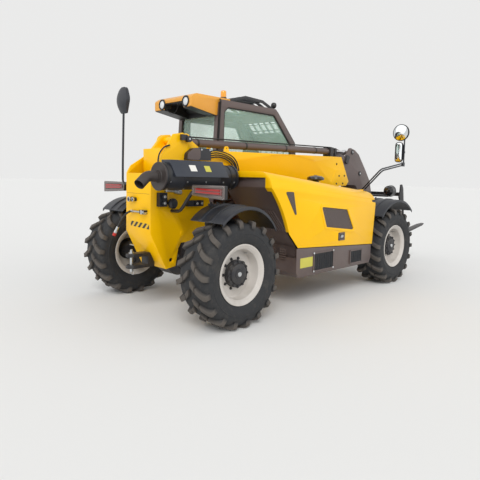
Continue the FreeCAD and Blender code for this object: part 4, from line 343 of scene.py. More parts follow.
def make_finishes():
    c = colours()
    FINISHES.update({
        # Sprayed alkyd enamel: even gloss with a faint orange peel
        "yellow_paint": coated("yellow alkyd enamel", c.yellow, 0.3, 7.0, 0.05, dust=0.05, drift=0.03, shine=0.25),
        "visor_paint": coated("ochre alkyd enamel", c.visor, 0.36, 7.0, 0.05, dust=0.06, coat=0.1, drift=0.04),
        "grey_paint": coated("taupe alkyd enamel", c.taupe, 0.42, 7.0, 0.05, dust=0.42, coat=0.1),
        "black_paint": coated("satin black enamel", c.black, 0.45, 9.0, 0.08, dust=0.5),
        "rim_paint": coated("off-white wheel enamel", c.rim, 0.42, 8.0, 0.06, dust=0.5, dust_hex="9A8F7F"),
        # Polypropylene moulding: fine leather grain, low gloss
        "black_plastic": coated("grained polypropylene", c.plastic, 0.42, 3.0, 0.18, dust=0.16),
        # Heat shield: dark enamel of its own, with a blue tint that is a painted reflection of the sky on its
        # upward-leaning face
        "shield_enamel_with_painted_sky": coated("blue-black shield enamel", "2A2F39", 0.4, 8.0, 0.06, dust=0.12),
        "gloss_black": coated("gloss black moulding", "17171A", 0.16, 6.0, 0.02, dust=0.12, coat=0.6),
        "muffler_steel": coated("heat-proof steel paint", c.muffler, 0.42, 12.0, 0.12, dust=0.35, dust_hex="6A5648"),
        "rust": coated("heat-browned steel", "352F2D", 0.5, 10.0, 0.2, dust=0.3, dust_hex="6E5143", drift=0.12),
        "chrome_rod": bright_metal("hard chrome", "D9DADC", 0.1, 2.0),
        "zinc": bright_metal("zinc-plated steel", "C3C5C6", 0.3, 4.0),
        "tyre_rubber": tyre_rubber(),
        "hose": coated("wrapped rubber hose", "1B1B1D", 0.6, 4.0, 0.3, dust=0.35),
        "lamp_red": lens("red acrylic lens", "A31713", 6.0),
        "lamp_clear": lens("clear acrylic lens", "D9DDDE", 7.0),
        "lamp_amber": lens("amber acrylic lens", "E9A13B", 6.0),
        "cab_glass": clear_glass("green float glass", c.glass, 0.22),
        "mirror": bright_metal("silvered mirror glass", "DCE0E2", 0.03, 40.0),
        "seat_fabric": seat_cloth(),
        "label": coated("blank vinyl label", "E8E6DE", 0.4, 6.0, 0.02, dust=0.3),
        "yellow_label": coated("blank yellow vinyl label", "C6BE4A", 0.4, 6.0, 0.02, dust=0.25),
        "hatch": hatch_tape(),
        "punched_sheet": perforated("punched taupe sheet", "5C4F4B"),
        "inner_dark": coated("shadowed primer", "17181B", 0.8, 8.0, 0.1, dust=0.3),
        "lining": coated("black moulded lining", "1A1A1B", 0.45, 3.0, 0.15, dust=0.2),
        "seal": coated("extruded window rubber", "161617", 0.55, 2.0, 0.08, dust=0.25),
        "lamp_dull": lens("red reflector moulding", "7C4A47", 5.0),
        "lamp_bezel": lens("smoked clear moulding", "635955", 9.0),
        "beacon_amber": lens("amber beacon dome", "F2A31C", 5.0),
        "red_cap": coated("red dust cap", "B5261E", 0.4, 2.0, 0.05, dust=0.2),
    })


def finished(name):
    return FINISHES[name]


# Mesh helpers
def new_piece(name, bm, material, smooth=35.0):
    """A mesh object from a bmesh whose points are places in the row's frame."""
    bmesh.ops.remove_doubles(bm, verts=bm.verts, dist=1e-6)
    bmesh.ops.recalc_face_normals(bm, faces=bm.faces)
    mesh = bpy.data.meshes.new(name)
    bm.to_mesh(mesh)
    bm.free()
    mesh.materials.append(material)
    mesh.shade_smooth()
    mesh.set_sharp_from_angle(angle=math.radians(smooth))
    piece = bpy.data.objects.new(name, mesh)
    bpy.context.scene.collection.objects.link(piece)
    return piece


def seat_on(piece, body, slot, *nodes):
    """Rides the piece on its body, standing for the nodes named, whose solids it hides; the slot is not used."""
    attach(piece, body)
    if nodes:
        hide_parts(*nodes)
    return piece


def revolve(bm, profile, segments, place):
    """A turned ring from closed (offset, radius) points; place maps (offset, radius, angle) to a point."""
    rings = []
    for i in range(segments):
        turn = 2 * math.pi * i / segments
        rings.append([bm.verts.new(place(offset, radius, turn)) for offset, radius in profile])
    count = len(profile)
    for i in range(segments):
        one, two = rings[i], rings[(i + 1) % segments]
        for k in range(count):
            nxt = (k + 1) % count
            if profile[k][1] < 1e-9 and profile[nxt][1] < 1e-9:
                continue
            bm.faces.new((one[k], one[nxt], two[nxt], two[k]))


def about_axle(tag):
    """Maps a wheel's own (offset outwards, radius, turn) to a place in the row's frame."""
    x, side = WHEELS[tag]

    def place(offset, radius, turn):
        return at(x + radius * math.sin(turn), side * (HALF_TRACK + offset),
                  WHEEL_CENTRE_Z + radius * math.cos(turn))
    return place


def prism(bm, outline, low, high, place):
    """A flat piece: its (a, b) outline pushed from low to high; place maps (a, b, depth) to a point."""
    ends = [[bm.verts.new(place(a, b, depth)) for a, b in outline] for depth in (low, high)]
    bm.faces.new(ends[0])
    bm.faces.new(ends[1])
    count = len(outline)
    for k in range(count):
        bm.faces.new((ends[0][k], ends[0][(k + 1) % count], ends[1][(k + 1) % count], ends[1][k]))


def block(bm, x, y, z):
    """A block between the two ends of each pair, in the machine's frame."""
    outline = [(x[0], z[0]), (x[1], z[0]), (x[1], z[1]), (x[0], z[1])]
    prism(bm, outline, y[0], y[1], lambda a, b, depth: at(a, depth, b))


def bar(bm, start, end, radius, sides=16, radius_end=None):
    """A round bar between two places in the row's frame, its radii in millimetres."""
    axis = (end - start).normalized()
    side = axis.orthogonal().normalized()
    other = axis.cross(side)
    rings = []
    for point, size in ((start, radius), (end, radius if radius_end is None else radius_end)):
        rings.append([bm.verts.new(point + (side * math.cos(2 * math.pi * i / sides)
                                            + other * math.sin(2 * math.pi * i / sides)) * size / 1000)
                      for i in range(sides)])
    bm.faces.new(rings[0])
    bm.faces.new(rings[1])
    for i in range(sides):
        bm.faces.new((rings[0][i], rings[0][(i + 1) % sides], rings[1][(i + 1) % sides], rings[1][i]))


def pipe(name, points, radius, material, bend=0.5, sides=12):
    """A hose or pipe through the points, as a plain mesh along a smooth curve."""
    curve = bpy.data.curves.new(name, "CURVE")
    curve.dimensions = "3D"
    spline = curve.splines.new("NURBS")
    spline.points.add(len(points) - 1)
    for point, place in zip(spline.points, points):
        point.co = (*place, 1.0)
    spline.order_u = 3
    spline.use_endpoint_u = True
    curve.resolution_u = 8
    curve.bevel_depth = radius / 1000
    curve.bevel_resolution = max(1, sides // 4 - 1)
    curve.use_fill_caps = True
    holder = bpy.data.objects.new(name + "_route", curve)
    bpy.context.scene.collection.objects.link(holder)
    bpy.context.view_layer.update()
    mesh = bpy.data.meshes.new_from_object(holder.evaluated_get(bpy.context.evaluated_depsgraph_get()))
    bpy.data.objects.remove(holder)
    mesh.name = name
    mesh.materials.clear()
    mesh.materials.append(material)
    mesh.shade_smooth()
    piece = bpy.data.objects.new(name, mesh)
    bpy.context.scene.collection.objects.link(piece)
    return piece


def joined(name, pieces):
    """One object from several, keeping each one's material."""
    bpy.ops.object.select_all(action="DESELECT")
    for piece in pieces:
        piece.select_set(True)
    bpy.context.view_layer.objects.active = pieces[0]
    bpy.ops.object.join()
    pieces[0].name = name
    pieces[0].data.name = name
    return pieces[0]


def settled(piece):
    """The piece's mesh with its modifiers applied and removed."""
    bpy.context.view_layer.update()
    mesh = bpy.data.meshes.new_from_object(piece.evaluated_get(bpy.context.evaluated_depsgraph_get()))
    old = piece.data
    piece.modifiers.clear()
    mesh.name = piece.name
    piece.data = mesh
    if old.users == 0:
        bpy.data.meshes.remove(old)
    return piece


def softened(node, edge_mm, material, angle=32.0):
    """A merged copy of a CAD node with its cut and folded edges rounded."""
    source = frame["nodes"][node]
    bm = bmesh.new()
    bm.from_mesh(source.data)
    bmesh.ops.remove_doubles(bm, verts=bm.verts, dist=2e-5)
    bmesh.ops.dissolve_limit(bm, angle_limit=math.radians(1.0), verts=bm.verts, edges=bm.edges)
    mesh = bpy.data.meshes.new(node + "_finished")
    bm.to_mesh(mesh)
    bm.free()
    piece = bpy.data.objects.new(node + "_finished", mesh)
    bpy.context.scene.collection.objects.link(piece)
    mesh.materials.append(material)
    rounding = piece.modifiers.new("edge", "BEVEL")
    rounding.width = edge_mm / 1000
    rounding.segments = 2
    rounding.limit_method = "ANGLE"
    rounding.angle_limit = math.radians(angle)
    rounding.use_clamp_overlap = True
    rounding.miter_outer = "MITER_ARC"
    settled(piece)
    piece.data.shade_smooth()
    piece.data.set_sharp_from_angle(angle=math.radians(40.0))
    return piece


def repeat_tree():
    """Geometry Nodes: copies of the mesh turned about the Y axis, or set along a line, made real."""
    tree = bpy.data.node_groups.new("Repeats round or along", "GeometryNodeTree")
    face = tree.interface
    face.new_socket("Geometry", in_out="INPUT", socket_type="NodeSocketGeometry")
    face.new_socket("Count", in_out="INPUT", socket_type="NodeSocketInt")
    face.new_socket("Turn", in_out="INPUT", socket_type="NodeSocketFloat")
    face.new_socket("Start", in_out="INPUT", socket_type="NodeSocketFloat")
    face.new_socket("Step", in_out="INPUT", socket_type="NodeSocketVector")
    face.new_socket("Material", in_out="INPUT", socket_type="NodeSocketMaterial")
    face.new_socket("Geometry", in_out="OUTPUT", socket_type="NodeSocketGeometry")
    start = add(tree, "NodeGroupInput")
    line = add(tree, "GeometryNodeMeshLine", {"Count": start.outputs["Count"], "Offset": start.outputs["Step"]})
    index = add(tree, "GeometryNodeInputIndex").outputs[0]
    turn = add(tree, "ShaderNodeMath", {0: index, 1: start.outputs["Turn"], 2: start.outputs["Start"]},
               operation="MULTIPLY_ADD").outputs[0]
    spin = add(tree, "ShaderNodeCombineXYZ", {"Y": turn}).outputs[0]
    copies = add(tree, "GeometryNodeInstanceOnPoints", {
        "Points": line.outputs["Mesh"], "Instance": start.outputs["Geometry"], "Rotation": spin})
    real = add(tree, "GeometryNodeRealizeInstances", {0: copies.outputs[0]})
    surfaced = add(tree, "GeometryNodeSetMaterial", {"Geometry": real.outputs[0],
                                                     "Material": start.outputs["Material"]})
    add(tree, "NodeGroupOutput", {0: surfaced.outputs[0]})
    return tree


def scatter_tree():
    """Geometry Nodes: the mesh set at each point of another, its Z turned along the point's facing."""
    tree = bpy.data.node_groups.new("Fasteners at points", "GeometryNodeTree")
    face = tree.interface
    face.new_socket("Geometry", in_out="INPUT", socket_type="NodeSocketGeometry")
    face.new_socket("Points", in_out="INPUT", socket_type="NodeSocketObject")
    face.new_socket("Material", in_out="INPUT", socket_type="NodeSocketMaterial")
    face.new_socket("Geometry", in_out="OUTPUT", socket_type="NodeSocketGeometry")
    start = add(tree, "NodeGroupInput")
    places = add(tree, "GeometryNodeObjectInfo", {"Object": start.outputs["Points"]})
    facing = add(tree, "GeometryNodeInputNamedAttribute", {"Name": "facing"}, data_type="FLOAT_VECTOR")
    turned = add(tree, "FunctionNodeAlignRotationToVector", {"Vector": facing.outputs["Attribute"]}, axis="Z")
    copies = add(tree, "GeometryNodeInstanceOnPoints", {
        "Points": places.outputs["Geometry"], "Instance": start.outputs["Geometry"],
        "Rotation": turned.outputs["Rotation"]})
    real = add(tree, "GeometryNodeRealizeInstances", {0: copies.outputs[0]})
    surfaced = add(tree, "GeometryNodeSetMaterial", {"Geometry": real.outputs[0],
                                                     "Material": start.outputs["Material"]})
    add(tree, "NodeGroupOutput", {0: surfaced.outputs[0]})
    return tree


def tree_named(name, maker):
    return bpy.data.node_groups.get(name) or maker()


def run_tree(piece, tree, values):
    """Puts the tree on the piece with its inputs set by name, and makes the result real."""
    modifier = piece.modifiers.new("repeat", "NODES")
    modifier.node_group = tree
    for item in tree.interface.items_tree:
        if item.in_out == "INPUT" and item.name in values:
            modifier[item.identifier] = values[item.name]
    return settled(piece)


def repeated(piece, count, turn=0.0, start=0.0, step=(0.0, 0.0, 0.0)):
    """Copies of a piece drawn about the origin, turned round Y or moved along a line."""
    values = {"Count": count, "Turn": turn, "Start": start, "Step": step, "Material": piece.data.materials[0]}
    return run_tree(piece, tree_named("Repeats round or along", repeat_tree), values)


def moved(piece, offset):
    piece.data.transform(Matrix.Translation(offset))
    return piece


def bolt_mesh(bm, across, height, washer=True):
    """Hexagon head on a washer, standing on the origin along +Z, sizes in millimetres."""
    def ring(radius, low, high, sides, turn=0.0):
        points = [(radius * math.cos(turn + 2 * math.pi * i / sides) / 1000,
                   radius * math.sin(turn + 2 * math.pi * i / sides) / 1000) for i in range(sides)]
        ends = [[bm.verts.new((a, b, depth / 1000)) for a, b in points] for depth in (low, high)]
        bm.faces.new(list(reversed(ends[0])))
        bm.faces.new(ends[1])
        for i in range(sides):
            bm.faces.new((ends[0][i], ends[0][(i + 1) % sides], ends[1][(i + 1) % sides], ends[1][i]))
    if washer:
        ring(across * 0.85, -0.5, 2.0, 12)
    ring(across / math.sqrt(3), -0.5, height, 6)


def fasteners(name, places, material, across=None, height=None, washer=True):
    """Bolt heads at (point, facing) pairs, one mesh."""
    across = across or sizes().bolt
    holder = bpy.data.meshes.new(name + "_points")
    holder.from_pydata([tuple(point) for point, _ in places], [], [])
    facing = holder.attributes.new("facing", "FLOAT_VECTOR", "POINT")
    for i, (_, way) in enumerate(places):
        facing.data[i].vector = way
    points = bpy.data.objects.new(name + "_points", holder)
    bpy.context.scene.collection.objects.link(points)
    bm = bmesh.new()
    bolt_mesh(bm, across, height or across * 0.6, washer)
    piece = new_piece(name, bm, material)
    run_tree(piece, tree_named("Fasteners at points", scatter_tree), {"Points": points, "Material": material})
    bpy.data.objects.remove(points)
    piece.data.set_sharp_from_angle(angle=math.radians(35.0))
    return piece


def rounded(outline, radius, steps=4):
    """A closed outline with its corners turned into curves about as large as the radius."""
    points = []
    count = len(outline)
    for i in range(count):
        before, corner, after = (Vector(outline[(i + k) % count]) for k in (-1, 0, 1))
        back, on = before - corner, after - corner
        turn = math.pi - back.angle(on)
        reach = min(radius * math.tan(turn / 2), back.length * 0.45, on.length * 0.45)
        if turn < 0.06 or reach < 0.2:
            points.append(corner)
            continue
        start, end = corner + back.normalized() * reach, corner + on.normalized() * reach
        for k in range(steps + 1):
            t = k / steps
            points.append(start * (1 - t) ** 2 + corner * 2 * t * (1 - t) + end * t * t)
    return points


def shifted(outline, by):
    """A closed outline drawn in by a distance, or out where it is negative."""
    points = [Vector(point) for point in outline]
    count = len(points)
    area = sum(points[i].cross(points[(i + 1) % count]) for i in range(count))
    side = 1.0 if area > 0 else -1.0
    moved_points = []
    for i in range(count):
        before, corner, after = points[i - 1], points[i], points[(i + 1) % count]
        one, two = (corner - before).normalized(), (after - corner).normalized()
        across = Vector((-(one.y + two.y), one.x + two.x)) * side
        across.normalize()
        lean = max(0.35, across.dot(Vector((-one.y, one.x)) * side))
        moved_points.append(corner + across * by / lean)
    return moved_points


def ring_frame(bm, outer, inner, low, high, place):
    """A flat frame between two closed outlines that have as many points."""
    loops = [[bm.verts.new(place(a, b, depth)) for a, b in outline]
             for outline, depth in ((outer, low), (outer, high), (inner, high), (inner, low))]
    for one, two in zip(loops, loops[1:] + loops[:1]):
        for k in range(len(outer)):
            nxt = (k + 1) % len(outer)
            bm.faces.new((one[k], one[nxt], two[nxt], two[k]))


def on_side(y, side):
    """Maps (x, z, depth outwards) to a place on an upright face across the machine."""
    return lambda a, b, depth: at(a, y + side * depth, b)


def on_end(x, side):
    """Maps (y, z, depth outwards) to a place on an upright face along the machine."""
    return lambda a, b, depth: at(x + side * depth, a, b)


def about_line(x, y, z, axis="x", side=1):
    """Maps (offset along the axis, radius, turn) to a place, for what is turned about a line."""
    def place(offset, radius, turn):
        a, b = radius * math.cos(turn), radius * math.sin(turn)
        if axis == "x":
            return at(x + side * offset, y + a, z + b)
        if axis == "y":
            return at(x + a, y + side * offset, z + b)
        return at(x + a, y + b, z + side * offset)
    return place


def turned(name, profile, place, finish, segments=36, smooth=35.0):
    """A turned piece from its closed (offset, radius) profile."""
    bm = bmesh.new()
    revolve(bm, profile, segments, place)
    return new_piece(name, bm, finished(finish), smooth)


def slab(name, outline, low, high, place, finish, radius=0.0):
    """A flat piece with rounded corners between two depths."""
    bm = bmesh.new()
    prism(bm, rounded(outline, radius) if radius else outline, low, high, place)
    return new_piece(name, bm, finished(finish))


def gasket(name, outline, radius, width, low, high, place, finish="seal"):
    """Rubber section pressed round a window opening."""
    outer = rounded(outline, radius)
    bm = bmesh.new()
    ring_frame(bm, outer, shifted(outer, width), low, high, place)
    return new_piece(name, bm, finished(finish))


def oblong(a, b, wide, high):
    """Corners of an upright rectangle about its middle."""
    return ((a - wide / 2, b - high / 2), (a + wide / 2, b - high / 2), (a + wide / 2, b + high / 2),
            (a - wide / 2, b + high / 2))


def grouped(name, pieces, body, slot, *nodes):
    """Joins the pieces into one object that rides on a body."""
    return seat_on(joined(name, pieces) if len(pieces) > 1 else renamed(pieces[0], name), body, slot, *nodes)


def renamed(piece, name):
    piece.name = name
    piece.data.name = name
    return piece


def flat_head_bolts(name, places, finish="zinc", across=None, height=None):
    return fasteners(name, places, finished(finish), across, height)


# Wheels
TYRE_PROFILE = (
    (-168.0, 306.0), (-180.0, 318.0), (-196.0, 350.0), (-203.0, 392.0), (-203.0, 398.0), (-206.0, 401.0),
    (-206.0, 407.0), (-203.0, 410.0), (-199.0, 445.0), (-190.0, 476.0), (-172.0, 492.0), (-120.0, 501.0),
    (-60.0, 505.0), (0.0, 506.0), (60.0, 505.0), (120.0, 501.0), (172.0, 492.0), (190.0, 476.0),
    (199.0, 445.0), (203.0, 410.0), (206.0, 407.0), (206.0, 401.0), (203.0, 398.0), (203.0, 392.0),
    (196.0, 350.0), (180.0, 318.0), (168.0, 306.0), (160.0, 262.0), (-160.0, 262.0),
)

# Columns: distance from the tyre's middle, place round the tread in mm, half width, top radius, foot radius
LONG_BAR = (
    (207.0, -64.0, 21.0, 486.0, 452.0),
    (204.0, -62.0, 21.5, 520.0, 470.0),
    (184.0, -56.0, 22.0, 532.0, 478.0),
    (150.0, -42.0, 22.0, 535.0, 488.0),
    (112.0, -21.0, 22.0, 536.5, 494.0),
    (84.0, 0.0, 21.0, 537.0, 498.0),
)
SHORT_BAR = (
    (72.0, 8.0, 22.0, 537.0, 498.0),
    (40.0, 36.0, 24.0, 537.2, 500.0),
    (18.0, 58.0, 22.0, 537.2, 500.0),
)


def tread_bar(bm, rows, side, width):
    """One moulded bar along its rows, with flanks that lean out to its foot."""
    scale = width / 44.0
    wear = bm.verts.layers.float.get("wear") or bm.verts.layers.float.new("wear")
    sections = []
    for y, along, half, top, foot in rows:
        section = []
        for share, radius, spread in ((-1, foot, 8.0), (-1, top, 0.0), (1, top, 0.0), (1, foot, 8.0)):
            turn = (along + share * (half * scale + spread)) / 520.0
            vert = bm.verts.new((radius * math.sin(turn) / 1000, side * y / 1000, radius * math.cos(turn) / 1000))
            vert[wear] = 1.0 if radius == top else 0.0
            section.append(vert)
        sections.append(section)
    for one, two in zip(sections, sections[1:]):
        for k in range(3):
            bm.faces.new((one[k], one[k + 1], two[k + 1], two[k]))
        bm.faces.new((one[3], one[0], two[0], two[3]))
    bm.faces.new(sections[0])
    bm.faces.new(sections[-1])


def make_tyre(tag):
    """Tyre of one wheel: turned carcass with its moulded bars."""
    rubber = finished("tyre_rubber")
    x, wheel_side = WHEELS[tag]
    centre = at(x, wheel_side * HALF_TRACK, WHEEL_CENTRE_Z)
    parts = []
    bm = bmesh.new()
    revolve(bm, TYRE_PROFILE, 96, about_axle(tag))
    parts.append(new_piece("carcass_" + tag, bm, rubber, 30.0))
    count = sizes().lug_count
    pitch = 2 * math.pi / count
    for side in (-1, 1):
        bm = bmesh.new()
        tread_bar(bm, LONG_BAR, side, sizes().lug_width)
        tread_bar(bm, SHORT_BAR, side, sizes().lug_width)
        bars = new_piece("bars", bm, rubber, 30.0)
        rounding = bars.modifiers.new("edge", "BEVEL")
        rounding.width = 0.0035
        rounding.segments = 2
        rounding.limit_method = "ANGLE"
        rounding.angle_limit = math.radians(40.0)
        settled(bars)
        repeated(bars, count, pitch, pitch / 2 if side > 0 else 0.0)
        moved(bars, centre)
        parts.append(bars)
    tyre = joined("tyre_dressed_" + tag, parts)
    tyre.data.set_sharp_from_angle(angle=math.radians(38.0))
    return seat_on(tyre, "wheel_" + tag, "tyre_rubber", "tyre_" + tag)


RIM_PROFILE = (
    (-180.0, 303.0), (-174.0, 304.0), (-169.0, 300.0), (-166.0, 268.0), (-150.0, 258.0), (-60.0, 257.5),
    (60.0, 257.5), (150.0, 258.0), (166.0, 268.0), (169.0, 300.0), (174.0, 304.0), (180.0, 302.0),
    (180.0, 292.0), (174.0, 284.0), (160.0, 262.0), (148.0, 250.0), (120.0, 246.0), (70.0, 246.0),
    (50.0, 236.0), (48.0, 226.0), (57.0, 172.0), (57.0, 134.0), (43.0, 134.0), (43.0, 172.0),
    (34.0, 232.0), (20.0, 246.0), (-150.0, 246.0), (-176.0, 284.0), (-180.0, 292.0),
)
HUB_PROFILE = (
    (43.0, 46.0), (43.0, 135.0), (66.0, 135.0), (72.0, 130.0), (74.0, 122.0), (78.0, 134.0), (108.0, 134.0),
    (109.0, 106.0), (124.0, 100.0), (129.0, 92.0), (129.0, 50.0), (134.0, 48.0), (134.0, 0.0), (90.0, 0.0), (90.0, 46.0),
)


def make_rim(tag):
    """Rim, planetary hub, its bolts, cap and valve of one wheel."""
    place = about_axle(tag)
    x, side = WHEELS[tag]
    body = "wheel_" + tag
    bm = bmesh.new()
    revolve(bm, RIM_PROFILE, 72, place)
    seat_on(new_piece("rim_dressed_" + tag, bm, finished("rim_paint")), body, "rim_paint", "rim_" + tag)
    bm = bmesh.new()
    revolve(bm, HUB_PROFILE, 48, place)
    seat_on(new_piece("hub_" + tag, bm, finished("black_paint")), body, "black_paint", "rim_" + tag)
    count = sizes().wheel_bolts
    bolts = [(place(57.0, 152.0, 2 * math.pi * (i + 0.5) / count), Vector((0, side, 0))) for i in range(count)]
    bolts += [(place(108.0, 124.0, 2 * math.pi * i / 12), Vector((0, side, 0))) for i in range(12)]
    seat_on(fasteners("wheel_bolts_" + tag, bolts, finished("black_paint"), 19.0, 14.0), body, "black_paint")
    bm = bmesh.new()
    bar(bm, place(133.0, 0.0, 0.0), place(139.0, 0.0, 0.0), 25.0, 32, 22.0)
    bar(bm, place(60.0, 228.0, 0.6), place(104.0, 232.0, 0.6), 6.0, 10, 4.0)
    seat_on(new_piece("hub_cap_" + tag, bm, finished("zinc")), body, "chrome_rod")


# Which finish each CAD node takes where its own solid stays in view
NODE_FINISH = {
    "front_axle": "black_paint", "rear_axle": "black_paint", "engine_block": "black_paint",
    "knuckle_fl": "black_paint", "knuckle_fr": "black_paint", "knuckle_rl": "black_paint",
    "knuckle_rr": "black_paint", "extension_rod": "chrome_rod", "lift_rod": "chrome_rod",
    "tilt_rod": "chrome_rod", "lift_barrel": "black_paint", "tilt_barrel": "black_paint",
    "cab_glass": "cab_glass", "door_glass": "cab_glass", "steering": "black_plastic", "seat": "seat_fabric",
    "work_lamps": "lamp_clear", "beacon": "lamp_amber", "road_lights": "black_plastic",
    "mirrors": "black_plastic", "headlamps": "gloss_black", "rear_fittings": "black_plastic",
    "precleaner": "gloss_black", "hood_vents": "punched_sheet", "skirt_grilles": "black_plastic",
}

# Columns: node, edge rounding in mm, finish, slot
SOFTENED = (
    ("chassis_frame", 3.0, "yellow_paint", "yellow_paint"),
    ("hood", 2.5, "yellow_paint", "yellow_paint"),
    ("engine_skirt", 3.0, "grey_paint", "grey_paint"),
    ("arch_panel", 1.5, "grey_paint", "grey_paint"),
    ("boom_outer", 3.5, "yellow_paint", "yellow_paint"),
    ("boom_inner", 3.0, "grey_paint", "grey_paint"),
    ("extension_barrel", 1.5, "grey_paint", "grey_paint"),
    ("cab_shell", 4.0, "grey_paint", "grey_paint"),
    ("door_frame", 3.0, "grey_paint", "grey_paint"),
    ("cab_roof", 6.0, "visor_paint", "visor_paint"),
    ("roof_guard", 2.0, "black_paint", "black_paint"),
    ("side_tank", 5.0, "grey_paint", "grey_paint"),
    ("carriage", 2.5, "black_paint", "black_paint"),
    ("forks", 3.0, "black_paint", "black_paint"),
    ("hitch", 2.0, "black_paint", "black_paint"),
    # The heat shield's finish carries a painted sky reflection as a blue tint in its colour
    ("heat_shield", 1.0, "shield_enamel_with_painted_sky", "black_plastic"),
    ("muffler", 1.0, "muffler_steel", "muffler_steel"),
    ("fender_fl", 2.0, "black_plastic", "black_plastic"),
    ("fender_fr", 2.0, "black_plastic", "black_plastic"),
    ("fender_rl", 2.0, "black_plastic", "black_plastic"),
    ("fender_rr", 2.0, "black_plastic", "black_plastic"),
)


def body_of(node):
    return frame["nodes"][node]["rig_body"]


# Operators, one for each group of pieces
class DressPanels(bpy.types.Operator):
    """Paint the CAD solids and round the edges of the plates and pressings"""
    bl_idname = "telehandler.panels"
    bl_label = "Panels and paint"

    def execute(self, context):
        make_finishes()
        for node, finish in NODE_FINISH.items():
            mesh = frame["nodes"][node].data
            mesh.materials.clear()
            mesh.materials.append(finished(finish))
        for node, edge, finish, slot in SOFTENED:
            piece = softened(node, edge, finished(finish))
            if node == "muffler":
                self.brown_tail(piece)
            seat_on(piece, body_of(node), slot, node)
        return {"FINISHED"}

    def brown_tail(self, silencer):
        """The tail pipe has browned behind the can's rear end."""
        silencer.data.materials.append(finished("rust"))
        rear = at(SILENCER_ENDS[0] - 1.0, 0.0, 0.0).x
        for face in silencer.data.polygons:
            if face.center.x < rear:
                face.material_index = 1


class DressWheels(bpy.types.Operator):
    """Tyres with moulded bars, rims, hubs and wheel bolts"""
    bl_idname = "telehandler.wheels"
    bl_label = "Wheels"

    def execute(self, context):
        for tag in WHEELS:
            make_tyre(tag)
            make_rim(tag)
        return {"FINISHED"}


# Cab
CAB_SIDE_Y = 235.0
CAB_REAR_LINE = ((800.0, 1400.0), (866.0, 2420.0))
RIGHT_WINDOW = ((946.0, 1340.0), (966.0, 2330.0), (1030.0, 2392.0), (1950.0, 2392.0), (2340.0, 1990.0),
                (2380.0, 1420.0), (2330.0, 1100.0), (1700.0, 1100.0), (1500.0, 1340.0))
DOOR_WINDOW = ((1019.0, 2261.0), (1965.5, 2261.0), (2141.0, 1945.5), (2141.0, 1234.5), (1019.0, 1180.0))
SCREEN_EDGE = ((2459.0, 1012.0), (2491.0, 1420.0), (2417.0, 2008.0), (2129.0, 2299.0))
PANE_EDGES = (301.0, 984.0)
REAR_PANE = ((830.0, 1480.0), (886.0, 2360.0))
ROOF_PANE = (1080.0, 1900.0, 2446.0)
VISOR_REAR = 430.0
VISOR_LAMPS = (364.0, 858.0)
VISOR_LAMP_Z = 2405.0
VISOR_LAMP_RADIUS = 54.0


def rear_pane_place(a, b, depth):
    """Maps (y, z, depth inwards) to a place on the leaning rear pane."""
    (x0, z0), (x1, z1) = REAR_PANE
    return at(x0 + (b - z0) * (x1 - x0) / (z1 - z0) + depth, a, b)


